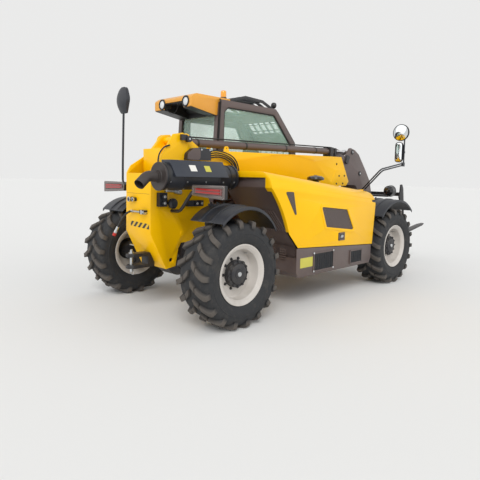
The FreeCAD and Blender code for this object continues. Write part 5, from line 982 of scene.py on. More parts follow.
class DressCab(bpy.types.Operator):
    """Window rubbers, visor lining, cable conduit and wiper of the cab"""
    bl_idname = "telehandler.cab"
    bl_label = "Cab trim"

    def execute(self, context):
        self.rubbers()
        self.lining()
        self.conduit()
        self.wiper()
        return {"FINISHED"}

    def rubbers(self):
        low, high = PANE_EDGES
        rear = ((low, 1480.0), (high, 1480.0), (high, 2360.0), (low, 2360.0))
        roof = ((ROOF_PANE[0], low), (ROOF_PANE[1], low), (ROOF_PANE[1], high), (ROOF_PANE[0], high))
        pieces = [
            gasket("right_rubber", RIGHT_WINDOW, 40.0, 15.0, -28.0, -8.0, on_side(CAB_SIDE_Y, -1)),
            gasket("rear_rubber", rear, 6.0, 16.0, -6.0, 14.0, rear_pane_place),
            gasket("roof_rubber", roof, 6.0, 16.0, -10.0, 4.0, lambda a, b, depth: at(a, b, ROOF_PANE[2] + depth)),
        ]
        for y in PANE_EDGES:
            way = 8.0 if y < 600.0 else -8.0
            pieces.append(pipe("screen_rubber", [at(x, y + way, z) for x, z in SCREEN_EDGE], 7.0, finished("seal")))
        for x, z in (SCREEN_EDGE[0], SCREEN_EDGE[-1]):
            pieces.append(pipe("screen_rubber", [at(x, low, z), at(x, high, z)], 7.0, finished("seal")))
        grouped("cab_window_rubbers", pieces, "chassis", "black_plastic")
        door = gasket("door_window_rubber", DOOR_WINDOW, 30.0, 14.0, -34.0, -6.0, on_side(CAB_OUTER_Y, 1))
        seat_on(door, "cab_door", "black_plastic")
        edge = ((957.0, 767.0), (957.0, 2323.0), (1996.0, 2323.0), (2203.0, 1976.0), (2203.0, 1203.0),
                (2056.0, 767.0))
        seal = gasket("door_edge_rubber", edge, 26.0, 9.0, -6.0, 2.5, on_side(CAB_OUTER_Y, 1))
        seat_on(seal, "cab_door", "black_plastic")

    def lining(self):
        """Black moulded lining under the visor, and bezels round its lamps."""
        pieces = []
        under = ((434.0, 2334.0), (852.0, 2264.0), (852.0, 2260.0), (434.0, 2329.0))
        crown = ((433.0, 2409.0), (560.0, 2414.0), (680.0, 2413.0), (760.0, 2376.0), (833.0, 2334.0), (833.0, 2262.0),
                 (829.0, 2262.0), (829.0, 2330.0), (757.0, 2371.0), (678.0, 2408.0), (560.0, 2409.0), (433.0, 2404.0))
        cheek = ((436.0, 2334.0), (831.0, 2264.0), (831.0, 2340.0), (690.0, 2410.0), (436.0, 2410.0))
        between = (VISOR_LAMPS[0] + 44.0, VISOR_LAMPS[1] - 44.0)
        flat = on_side(0.0, 1)
        pieces.append(slab("under", under, 252.0, between[0] + 3.0, flat, "lining"))
        pieces.append(slab("under", under, between[1] - 3.0, 1014.0, flat, "lining"))
        pieces.append(slab("crown", crown, between[0] + 1.0, between[1] - 1.0, flat, "lining"))
        for y in (between[0] + 1.0, between[1] - 4.0):
            pieces.append(slab("cheek", cheek, y, y + 3.0, flat, "lining"))
        for y in VISOR_LAMPS:
            place = about_line(VISOR_REAR, y, VISOR_LAMP_Z)
            bezel = ((-7.0, 51.0), (-9.0, 55.0), (-9.0, 64.0), (-4.0, 70.0), (8.0, 70.0), (8.0, 51.0))
            sleeve = ((4.0, 62.5), (4.0, 69.0), (98.0, 69.0), (102.0, 50.0), (102.0, 0.0), (99.0, 0.0), (96.0, 62.5))
            pieces += [turned("bezel", bezel, place, "lining"), turned("sleeve", sleeve, place, "lining")]
        hang = [at(VISOR_REAR + 30.0, y, z) for y, z in ((800.0, 2350.0), (740.0, 2290.0), (660.0, 2268.0),
                                                         (600.0, 2300.0), (560.0, 2352.0), (540.0, 2400.0))]
        pieces.append(pipe("lamp_lead", hang, 4.0, finished("hose")))
        grouped("visor_lining", pieces, "chassis", "black_plastic")

    def conduit(self):
        """Corrugated conduit down the cab's rear right post, each ring a copy of one."""
        (x0, z0), (x1, z1) = CAB_REAR_LINE
        top, foot = (880.0, 2435.0), (845.0, 1830.0)
        count = 58
        step = Vector((foot[0] - top[0], 0.0, foot[1] - top[1])) / 1000 / count
        ring = turned("conduit_ring", ((0.0, 11.0), (2.0, 15.0), (6.0, 15.0), (8.0, 11.0)),
                      lambda offset, radius, turn: Vector((radius * math.cos(turn), radius * math.sin(turn), offset)) / 1000,
                      "hose", 14)
        repeated(ring, count, step=tuple(step))
        moved(ring, at(top[0], CAB_SIDE_Y - 14.0, top[1]))
        core = pipe("conduit_core", [at(905.0, CAB_SIDE_Y + 30.0, 2482.0), at(886.0, CAB_SIDE_Y - 14.0, 2474.0),
                                     at(top[0], CAB_SIDE_Y - 14.0, top[1]), at(foot[0], CAB_SIDE_Y - 14.0, foot[1]),
                                     at(foot[0] + 6.0, CAB_SIDE_Y + 16.0, foot[1] - 70.0)], 11.0, finished("hose"))
        grouped("cab_conduit", [ring, core], "chassis", "black_plastic")

    def wiper(self):
        pivot, elbow = at(2468.0, 640.0, 1060.0), at(2496.0, 610.0, 1330.0)
        bm = bmesh.new()
        bar(bm, at(2440.0, 640.0, 1056.0), at(2476.0, 640.0, 1062.0), 16.0)
        bar(bm, pivot, elbow, 6.0, 12, 4.0)
        bar(bm, at(2486.0, 600.0, 1130.0), at(2488.0, 600.0, 1560.0), 5.0, 8)
        seat_on(new_piece("screen_wiper", bm, finished("seal")), "chassis", "black_plastic")


# Seat
CUSHION_VOXEL = 0.007
CUSHION_FRAMES = 20
CUSHION_SWELL = 0.012


def puffed(piece):
    """Swells a pad with cloth under pressure, and lets no point move further than the swell."""
    remesh = piece.modifiers.new("voxels", "REMESH")
    remesh.mode = "VOXEL"
    remesh.voxel_size = CUSHION_VOXEL
    bpy.context.view_layer.update()
    start = bpy.data.meshes.new_from_object(piece.evaluated_get(bpy.context.evaluated_depsgraph_get()))
    piece.modifiers.remove(remesh)
    piece.data = start
    before = [vert.co.copy() for vert in start.vertices]
    cloth = piece.modifiers.new("filling", "CLOTH")
    cloth.settings.use_pressure = True
    cloth.settings.uniform_pressure_force = 4.0
    cloth.settings.effector_weights.gravity = 0.0
    cloth.collision_settings.use_collision = False
    cloth.point_cache.frame_start = 1
    cloth.point_cache.frame_end = CUSHION_FRAMES
    for frame_number in range(1, CUSHION_FRAMES + 1):
        bpy.context.scene.frame_set(frame_number)
    swollen = bpy.data.meshes.new_from_object(piece.evaluated_get(bpy.context.evaluated_depsgraph_get()))
    piece.modifiers.remove(cloth)
    bpy.context.scene.frame_set(1)
    for vert, old in zip(swollen.vertices, before):
        move = vert.co - old
        if move.length > CUSHION_SWELL:
            vert.co = old + move * (CUSHION_SWELL / move.length)
    piece.data = swollen
    for face in swollen.polygons:
        face.use_smooth = True


def cushion(name, half, place, crown, channels):
    """A sewn cushion: a crowned block swollen by its filling, with stitched channels across it."""
    bm = bmesh.new()
    bmesh.ops.create_cube(bm, size=2.0)
    bmesh.ops.subdivide_edges(bm, edges=bm.edges, cuts=27, use_grid_fill=True)
    for vert in bm.verts:
        u, v, w = vert.co
        size = (abs(u) ** 5 + abs(v) ** 5 + abs(w) ** 5) ** 0.2
        u, v, w = u / size, v / size, w / size
        face = (1 - min(1.0, u * u)) * (1 - min(1.0, v * v))
        drawn = 1.0 - 0.035 * (1 - abs(u)) * (1 - abs(w))
        vert.co = Vector((u * half[0], v * drawn * half[1], w * (1.0 + crown * face) * half[2])) / 1000
    piece = new_piece(name, bm, finished("seat_fabric"), 80.0)
    puffed(piece)
    for vert in piece.data.vertices:
        u, v, w = (1000 * number / reach for number, reach in zip(vert.co, half))
        face = (1 - min(1.0, u * u)) * (1 - min(1.0, v * v))
        dip = sum(math.exp(-((u - channel) / 0.035) ** 2) for channel in channels) if w > 0 else 0.0
        vert.co = place(u * half[0], v * half[1], (w - dip * 0.14 * min(1.0, face * 4)) * half[2])
    return piece


class DressSeat(bpy.types.Operator):
    """Driver's seat: cushion, back and headrest of woven cloth on a bellows and a sprung box"""
    bl_idname = "telehandler.seat"
    bl_label = "Seat"

    def execute(self, context):
        lean = math.radians(9.0)

        def leaned(x, z):
            def place(along, across, out):
                return at(x - along * math.sin(lean) + out * math.cos(lean), 720.0 + across,
                          z + along * math.cos(lean) + out * math.sin(lean))
            return place
        soft = [cushion("seat_cushion", (232.0, 224.0, 46.0), lambda a, b, c: at(1336.0 + a, 720.0 + b, 1092.0 + c),
                        0.18, (-0.35, 0.1, 0.5)),
                cushion("seat_back", (292.0, 220.0, 40.0), leaned(1094.0, 1450.0), 0.2, (-0.5, -0.15, 0.2, 0.55)),
                cushion("seat_headrest", (82.0, 116.0, 27.0), leaned(1040.0, 1846.0), 0.25, ())]
        for piece in soft:
            seat_on(piece, "chassis", "seat_fabric", "seat")
        bm = bmesh.new()
        block(bm, (1110.0, 1510.0), (526.0, 914.0), (698.0, 770.0))
        block(bm, (1100.0, 1560.0), (520.0, 920.0), (1018.0, 1038.0))
        for k in range(6):
            low = 770.0 + k * 41.0
            loops = []
            for up, wide in ((0.0, 175.0), (20.5, 190.0), (41.0, 175.0)):
                loops.append([bm.verts.new(at(1310.0 + a * wide, 720.0 + b * wide, low + up))
                              for a, b in ((-1, -1), (1, -1), (1, 1), (-1, 1))])
            for one, two in zip(loops, loops[1:]):
                for i in range(4):
                    bm.faces.new((one[i], one[(i + 1) % 4], two[(i + 1) % 4], two[i]))
        for y in (680.0, 760.0):
            bar(bm, at(1046.0, y, 1730.0), at(1034.0, y, 1850.0), 6.0)
        bar(bm, at(1180.0, 500.0, 1210.0), at(1420.0, 500.0, 1235.0), 22.0)
        bar(bm, at(1400.0, 500.0, 1250.0), at(1412.0, 500.0, 1330.0), 8.0)
        bar(bm, at(1411.0, 500.0, 1325.0), at(1416.0, 500.0, 1372.0), 20.0, 16, 16.0)
        bar(bm, at(1160.0, 500.0, 1120.0), at(1190.0, 500.0, 1215.0), 14.0)
        seat_on(new_piece("seat_frame", bm, finished("black_plastic")), "chassis", "black_plastic", "seat")
        return {"FINISHED"}


# Lamps
ROAD_LAMP_X = -262.0
ROAD_HOUSING = ((640.0, 1294.0), (1110.0, 1268.0), (1110.0, 1400.0), (640.0, 1398.0))
ROAD_LENS = ((690.0, 1318.0), (1070.0, 1306.0), (1070.0, 1372.0), (690.0, 1372.0))


class DressLamps(bpy.types.Operator):
    """Work lamps, beacon, rear lamp clusters and front lamps"""
    bl_idname = "telehandler.lamps"
    bl_label = "Lamps"

    def execute(self, context):
        self.work_lamps()
        self.beacon()
        self.rear_clusters()
        self.front_lamps()
        return {"FINISHED"}

    def work_lamps(self):
        shells, faces, mirrors = [], [], []
        bowl = ((-2.0, 53.0), (0.0, 50.0), (10.0, 47.0), (40.0, 40.0), (66.0, 22.0), (70.0, 0.0), (75.0, 0.0),
                (74.0, 26.0), (46.0, 50.0), (10.0, 54.0))
        crown = ((-9.0, 0.0), (-8.0, 22.0), (-5.0, 40.0), (0.0, 51.0), (4.0, 51.0), (4.0, 0.0))
        glow = ((6.0, 0.0), (5.0, 30.0), (3.0, 45.0), (6.0, 45.0), (22.0, 20.0), (24.0, 0.0))
        for y in VISOR_LAMPS:
            place = about_line(VISOR_REAR, y, VISOR_LAMP_Z)
            shells.append(turned("bowl", bowl, place, "lining"))
            mirrors.append(turned("glow", glow, place, "zinc"))
            faces.append(turned("crown", crown, place, "lamp_clear"))
        x, y, z = 2023.0, 330.0, 2545.0
        small = about_line(x + 27.0, y, z, "x", -1)
        shells.append(turned("bowl", [(a * 0.6, r * 0.83) for a, r in bowl], small, "lining"))
        faces.append(turned("crown", [(a * 0.6, r * 0.83) for a, r in crown], small, "lamp_clear"))
        bm = bmesh.new()
        bar(bm, at(x, y, 2470.0), at(x, y, 2512.0), 12.0)
        shells.append(new_piece("stem", bm, finished("lining")))
        grouped("work_lamp_bowls", shells, "chassis", "black_plastic", "work_lamps")
        grouped("work_lamp_reflectors", mirrors, "chassis", "chrome_rod")
        grouped("work_lamp_lenses", faces, "chassis", "lamp_clear", "work_lamps")

    def beacon(self):
        place = about_line(1000.0, 296.0, 2500.0, "z")
        foot = ((0.0, 0.0), (0.0, 43.5), (10.0, 43.5), (14.0, 41.0), (20.0, 39.0), (20.0, 0.0))
        cap = ((18.0, 30.0), (18.0, 37.0), (50.0, 38.0), (92.0, 37.0), (102.0, 31.0), (107.5, 18.0), (108.0, 0.0),
               (104.0, 0.0), (98.0, 26.0), (88.0, 33.0), (22.0, 34.0))
        core = ((20.0, 0.0), (20.0, 20.0), (70.0, 16.0), (84.0, 0.0))
        seat_on(turned("beacon_foot", foot, place, "lining"), "chassis", "black_plastic", "beacon")
        seat_on(turned("beacon_cap", cap, place, "beacon_amber", 48), "chassis", "lamp_amber", "beacon")
        seat_on(turned("beacon_core", core, place, "lamp_amber"), "chassis", "lamp_amber")

    def rear_clusters(self):
        backs, bezels, reds = [], [], []
        bolts = []
        for side in (-1, 1):
            face = on_end(ROAD_LAMP_X, -1)
            outline = [(side * y, z) for y, z in ROAD_HOUSING]
            edge = rounded(outline, 12.0)
            backs.append(slab("back", outline, -44.0, -8.0, face, "lining", 12.0))
            backs.append(pipe("arm", [at(-208.0, side * y, z) for y, z in (
                (236.0, 1112.0), (330.0, 1112.0), (385.0, 1122.0), (450.0, 1182.0), (560.0, 1306.0),
                (600.0, 1330.0), (660.0, 1332.0), (1060.0, 1332.0))], 18.0, finished("black_paint")))
            inner = shifted(edge, 15.0)
            bm = bmesh.new()
            rings = [[bm.verts.new(face(a, b, depth)) for a, b in loop]
                     for loop, depth in ((edge, -8.0), (edge, -1.0), (inner, 7.0), (shifted(edge, 34.0), -3.0))]
            for one, two in zip(rings, rings[1:]):
                for k in range(len(edge)):
                    nxt = (k + 1) % len(edge)
                    bm.faces.new((one[k], one[nxt], two[nxt], two[k]))
            bezels.append(new_piece("bezel", bm, finished("lamp_bezel"), 20.0))
            low, high = ROAD_LENS[0][0], ROAD_LENS[1][0]
            for z in (1324.0, 1352.0):
                strip = [(side * (low + 24.0), z), (side * (high - 18.0), z - 8.0), (side * (high - 18.0), z + 10.0),
                         (side * (low + 24.0), z + 15.0)]
                reds.append(slab("red", strip, -4.0, 8.0, face, "lamp_red", 4.0))
            reds.append(slab("red", [(side * (low - 6.0), 1322.0), (side * (high + 8.0), 1308.0),
                                     (side * (high + 8.0), 1368.0), (side * (low - 6.0), 1366.0)], -5.0, 2.0, face,
                             "lamp_dull", 4.0))
            bolts += [(face(side * y, z, 2.0), Vector((-1, 0, 0))) for y, z in (
                (652.0, 1306.0), (1098.0, 1281.0), (1098.0, 1388.0), (652.0, 1386.0))]
        grouped("rear_lamp_backs", backs, "chassis", "black_plastic", "road_lights")
        grouped("rear_lamp_bezels", bezels, "chassis", "lamp_clear", "road_lights")
        grouped("rear_lamp_reds", reds, "chassis", "lamp_red", "road_lights")
        seat_on(flat_head_bolts("rear_lamp_screws", bolts, "zinc", 7.0, 3.0), "chassis", "chrome_rod")

    def front_lamps(self):
        rings, faces = [], []
        for side in (-1, 1):
            place = about_line(WHEELBASE + 470.0, side * 780.0, 1320.0)
            rings.append(turned("ring", ((-6.0, 78.0), (-6.0, 91.0), (6.0, 90.0), (8.0, 84.0), (2.0, 78.0)), place,
                                "lining"))
            faces.append(turned("face", ((-2.0, 0.0), (-2.0, 80.0), (3.0, 80.0), (8.0, 60.0), (11.0, 0.0)), place,
                                "lamp_clear"))
        grouped("front_lamp_rings", rings, "chassis", "black_plastic")
        grouped("front_lamp_lenses", faces, "chassis", "lamp_clear")


# Mirrors
class DressMirrors(bpy.types.Operator):
    """Silvered faces and rims of the mirrors"""
    bl_idname = "telehandler.mirrors"
    bl_label = "Mirrors"

    def execute(self, context):
        tip_x, arm_y = WHEELBASE + 405.0, -1000.0
        ball_x, ball = tip_x + 250.0, 300.6

        def dome(offset, radius, turn):
            return about_line(ball_x, arm_y + 54.0, 2205.0, "x", -1)(offset, radius, turn)
        arc = [(math.sqrt(ball ** 2 - r ** 2), r) for r in (0.0, 20.0, 40.0, 60.0, 80.0, 100.0, 114.0)]
        thin = [(offset - 1.5, r) for offset, r in reversed(arc)]
        rim = ((ball - 25.0, 114.0), (ball - 21.0, 117.0), (ball - 23.0, 124.5), (ball - 34.0, 125.0),
               (ball - 34.0, 112.0))
        glass = [turned("round_glass", arc + thin, dome, "mirror", 48, 60.0)]
        rims = [turned("round_rim", rim, dome, "seal", 48)]
        face = on_end(tip_x - 36.0, -1)
        oval = rounded(oblong(arm_y + 68.0, 1911.0, 116.0, 306.0), 57.0, 8)
        bm = bmesh.new()
        loops = [(shifted(oval, inset), depth) for inset, depth in ((9.0, 0.5), (16.0, 2.0), (30.0, 3.5), (44.0, 4.2))]
        rings = [[bm.verts.new(face(a, b, depth)) for a, b in loop] for loop, depth in loops]
        for one, two in zip(rings, rings[1:]):
            for k in range(len(oval)):
                bm.faces.new((one[k], one[(k + 1) % len(oval)], two[(k + 1) % len(oval)], two[k]))
        bm.faces.new(rings[-1])
        bm.faces.new(rings[0])
        glass.append(new_piece("oval_glass", bm, finished("mirror"), 60.0))
        rims.append(gasket("oval_rim", oblong(arm_y + 68.0, 1911.0, 116.0, 306.0), 57.0, 9.0, -6.0, 5.0, face))
        grouped("right_mirror_glasses", glass, "chassis", "chrome_rod")
        pole = on_end(-418.0, 1)
        drop = [(355.0 + across, up) for across, up in ((-62.0, 2156.0), (62.0, 2156.0), (112.0, 2310.0),
                                                        (60.0, 2440.0), (-60.0, 2440.0), (-112.0, 2310.0))]
        shape = shifted(rounded(drop, 60.0), 14.0)
        seat_on(slab("left_mirror_glass", shape, 0.2, 2.5, pole, "mirror"), "chassis", "chrome_rod")
        grouped("mirror_rims", rims, "chassis", "black_plastic")
        return {"FINISHED"}


# Hood and skirt
LATCH_X = 1733.0
SKIRT_REAR_X = 856.0
CLEANER_X, CLEANER_Y, CLEANER_Z = 1850.4, -600.0, 1402.7
GRILLES = ((1369.0, 523.0, 410.0, 226.0), (2087.0, 498.0, 290.0, 180.0))


class DressSides(bpy.types.Operator):
    """Hood latch, grille screws, blank label, folded grooves and louvres of the right side"""
    bl_idname = "telehandler.sides"
    bl_label = "Hood and skirt"

    def execute(self, context):
        face = on_side(BAY_OUTER_Y, -1)
        frame_outline = oblong(LATCH_X, 783.0, 130.0, 97.0)
        frame = gasket("latch_frame", frame_outline, 8.0, 22.0, 0.0, 12.0, face, "grey_paint")
        cup = slab("latch_cup", oblong(LATCH_X, 783.0, 90.0, 56.0), 7.8, 9.0, face, "lining", 5.0)
        grouped("hood_latch_frame", [frame, cup], "hood", "grey_paint")
        paddle = slab("hood_latch_paddle", ((LATCH_X - 30.0, 768.0), (LATCH_X + 32.0, 768.0), (LATCH_X + 32.0, 800.0),
                                            (LATCH_X - 8.0, 800.0)), 9.0, 13.0, face, "zinc", 5.0)
        seat_on(paddle, "hood", "chrome_rod")
        label = slab("skirt_label", oblong(1040.0, 537.0, 232.0, 112.0), 0.0, 0.8, face, "yellow_label", 8.0)
        seat_on(label, "chassis", "yellow_paint")
        screws, frames = [], []
        for x, z, wide, high in GRILLES:
            corners = [(a, b) for a in (-1, 1) for b in (-1, 1)] if x == GRILLES[0][0] else ()
            for a, b in corners:
                screws.append((face(x + a * (wide / 2 - 8.0), z + b * (high / 2 - 8.0), 9.0), Vector((0, -1, 0))))
            frames.append(gasket("grille_frame", oblong(x, z, wide + 2.0, high + 2.0), 6.0, 17.0, 0.5, 10.0, face,
                                 "grey_paint"))
        grouped("grille_frames", frames, "chassis", "grey_paint")
        seat_on(flat_head_bolts("grille_screws", screws, "zinc", 15.0, 6.0), "chassis", "chrome_rod")
        self.cleaner_bowl()
        self.grooves()
        self.louvres()
        self.mesh_wires()
        return {"FINISHED"}

    def cleaner_bowl(self):
        """Pre-cleaner's neck, bowl and domed lid, with the lid's seam and knob."""
        bowl = ((-4.0, 0.0), (-4.0, 45.0), (44.0, 45.0), (52.0, 66.0), (62.0, 98.0), (66.0, 110.0), (80.0, 113.0),
                (81.0, 109.0), (83.0, 109.0), (84.0, 114.0), (92.0, 113.0), (104.0, 104.0), (114.0, 84.0), (121.0, 54.0),
                (124.0, 26.0), (126.0, 24.0), (130.0, 18.0), (131.0, 0.0))
        piece = turned("air_cleaner_bowl", bowl, about_line(CLEANER_X, CLEANER_Y, CLEANER_Z, "z", 1), "gloss_black", 48)
        seat_on(piece, "hood", "black_plastic", "precleaner")

    def grooves(self):
        """Slanted swages pressed in the panel behind the rear wheel."""
        foot, top = (738.0, 890.0), (624.0, 1140.0)
        ribs = []
        for k in range(19):
            y = -1044.0 + k * 34.0
            share = min(1.0, (-376.0 - y) / 110.0)
            ends = []
            proud = (-5.5, -2.5)
            for along in (0.0, share):
                rise = 0.06 + 0.9 * along
                ends.append(at(foot[0] + (top[0] - foot[0]) * rise + proud[0], y + 110.0 * along,
                               foot[1] + (top[1] - foot[1]) * rise + proud[1]))
            bm = bmesh.new()
            bar(bm, ends[0], ends[1], 8.5, 8)
            ribs.append(new_piece("rib", bm, finished("grey_paint")))
        grouped("arch_panel_swages", ribs, "chassis", "grey_paint")

    def louvres(self):
        """Pressed louvres in the skirt's rear face."""
        pieces = []
        face = on_end(SKIRT_REAR_X, -1)
        for y in (-748.0, -905.0):
            for k in range(5):
                z = 678.0 - k * 26.0
                bm = bmesh.new()
                outline = ((0.0, z - 7.0), (12.0, z - 5.0), (0.0, z + 10.0))
                prism(bm, outline, y - 44.0, y + 44.0, lambda a, b, depth: face(depth, b, a))
                pieces.append(new_piece("louvre", bm, finished("grey_paint")))
        grouped("skirt_louvres", pieces, "chassis", "grey_paint")

    def mesh_wires(self):
        """Woven wire behind the grille bars, each wire a copy of one."""
        pieces = []
        for x, z, wide, high in GRILLES:
            for upright in (True, False):
                length, run = (high - 34.0, wide - 34.0) if upright else (wide - 34.0, high - 34.0)
                count = int(run / 13.0)
                bm = bmesh.new()
                end = Vector((0.0, 0.0, length / 2000)) if upright else Vector((length / 2000, 0.0, 0.0))
                bar(bm, -end, end, 1.6, 5)
                wire = new_piece("wire", bm, finished("lining"))
                step = Vector((run / 1000 / count, 0.0, 0.0)) if upright else Vector((0.0, 0.0, run / 1000 / count))
                repeated(wire, count + 1, step=tuple(step))
                start = at(x, BAY_OUTER_Y - 4.5, z) - step * count / 2
                pieces.append(moved(wire, start))
        grouped("grille_wires", pieces, "chassis", "black_plastic", )


# Exhaust
SILENCER_Y, SILENCER_Z = -500.0, 1475.0
SILENCER_ENDS = (-560.0, 385.0)
SHIELD_SLOPE = ((-672.0, 1476.0), (-562.0, 1639.0))


def shield_place(a, b, depth):
    """Maps (x, share up the slope, depth outwards) to a place on the heat shield's slanted face."""
    (y0, z0), (y1, z1) = SHIELD_SLOPE
    length = math.hypot(y1 - y0, z1 - z0)
    out = Vector((-(z1 - z0), y1 - y0)) / length * depth
    return at(a, y0 + (y1 - y0) * b + out.x, z0 + (z1 - z0) * b + out.y)


class DressExhaust(bpy.types.Operator):
    """Silencer's end caps, clamps and screws, tail pipe lip and the blank labels on its shield"""
    bl_idname = "telehandler.exhaust"
    bl_label = "Exhaust"

    def execute(self, context):
        rear, front = SILENCER_ENDS
        line = about_line(0.0, SILENCER_Y, SILENCER_Z)
        back_cap = [(rear + offset, radius) for offset, radius in (
            (-8.0, 54.0), (-10.0, 60.0), (-4.0, 66.0), (-4.0, 128.0), (-7.0, 134.0), (-4.0, 139.0), (8.0, 139.0),
            (8.0, 131.0), (3.0, 54.0))]
        front_cap = [(front + offset, radius) for offset, radius in (
            (9.0, 34.0), (11.0, 40.0), (4.0, 52.0), (5.0, 122.0), (9.0, 128.0), (6.0, 136.0), (-16.0, 136.0),
            (-16.0, 130.5), (-2.0, 120.0), (-2.0, 34.0))]
        collar = [(rear - 14.0 + offset, radius) for offset, radius in ((-22.0, 53.0), (-22.0, 60.0), (0.0, 62.0),
                                                                        (6.0, 53.0))]
        seat_on(turned("silencer_rear_cap", back_cap, line, "rust", 56), "chassis", "muffler_steel")
        seat_on(turned("silencer_front_cap", front_cap, line, "muffler_steel", 56), "chassis", "muffler_steel")
        seat_on(turned("tail_pipe_collar", collar, line, "rust", 40), "chassis", "muffler_steel")
        bands = []
        for x in (-520.0, 300.0):
            bands.append(turned("band", ((x - 13.0, 130.5), (x - 13.0, 134.0), (x + 13.0, 134.0), (x + 13.0, 130.5)),
                                line, "lining", 56))
        grouped("silencer_bands", bands, "chassis", "black_plastic")
        screws = []
        for k in range(12):
            turn = 2 * math.pi * (k + 0.5) / 12
            screws.append((line(front + 6.0, 127.0, turn), Vector((1, 0, 0))))
        for x in (-505.0, -300.0, -60.0, 180.0, 340.0):
            for turn in (math.radians(203.0), math.radians(246.0)):
                way = Vector((0, math.cos(turn), math.sin(turn)))
                screws.append((line(x, 130.0, turn), way))
        seat_on(flat_head_bolts("silencer_screws", screws, "zinc", 11.0, 6.0), "chassis", "chrome_rod")
        white = slab("shield_white_label", ((-268.0, 0.34), (-186.0, 0.34), (-186.0, 0.71), (-268.0, 0.71)), 0.0, 0.8,
                     shield_place, "label")
        yellow = slab("shield_yellow_label", ((-74.0, 0.33), (2.0, 0.33), (2.0, 0.7), (-74.0, 0.7)), 0.0, 0.8,
                      shield_place, "yellow_label")
        grouped("shield_labels", [white, yellow], "chassis", "yellow_paint")
        return {"FINISHED"}


# Rear wall
REAR_WALL_X = -470.0


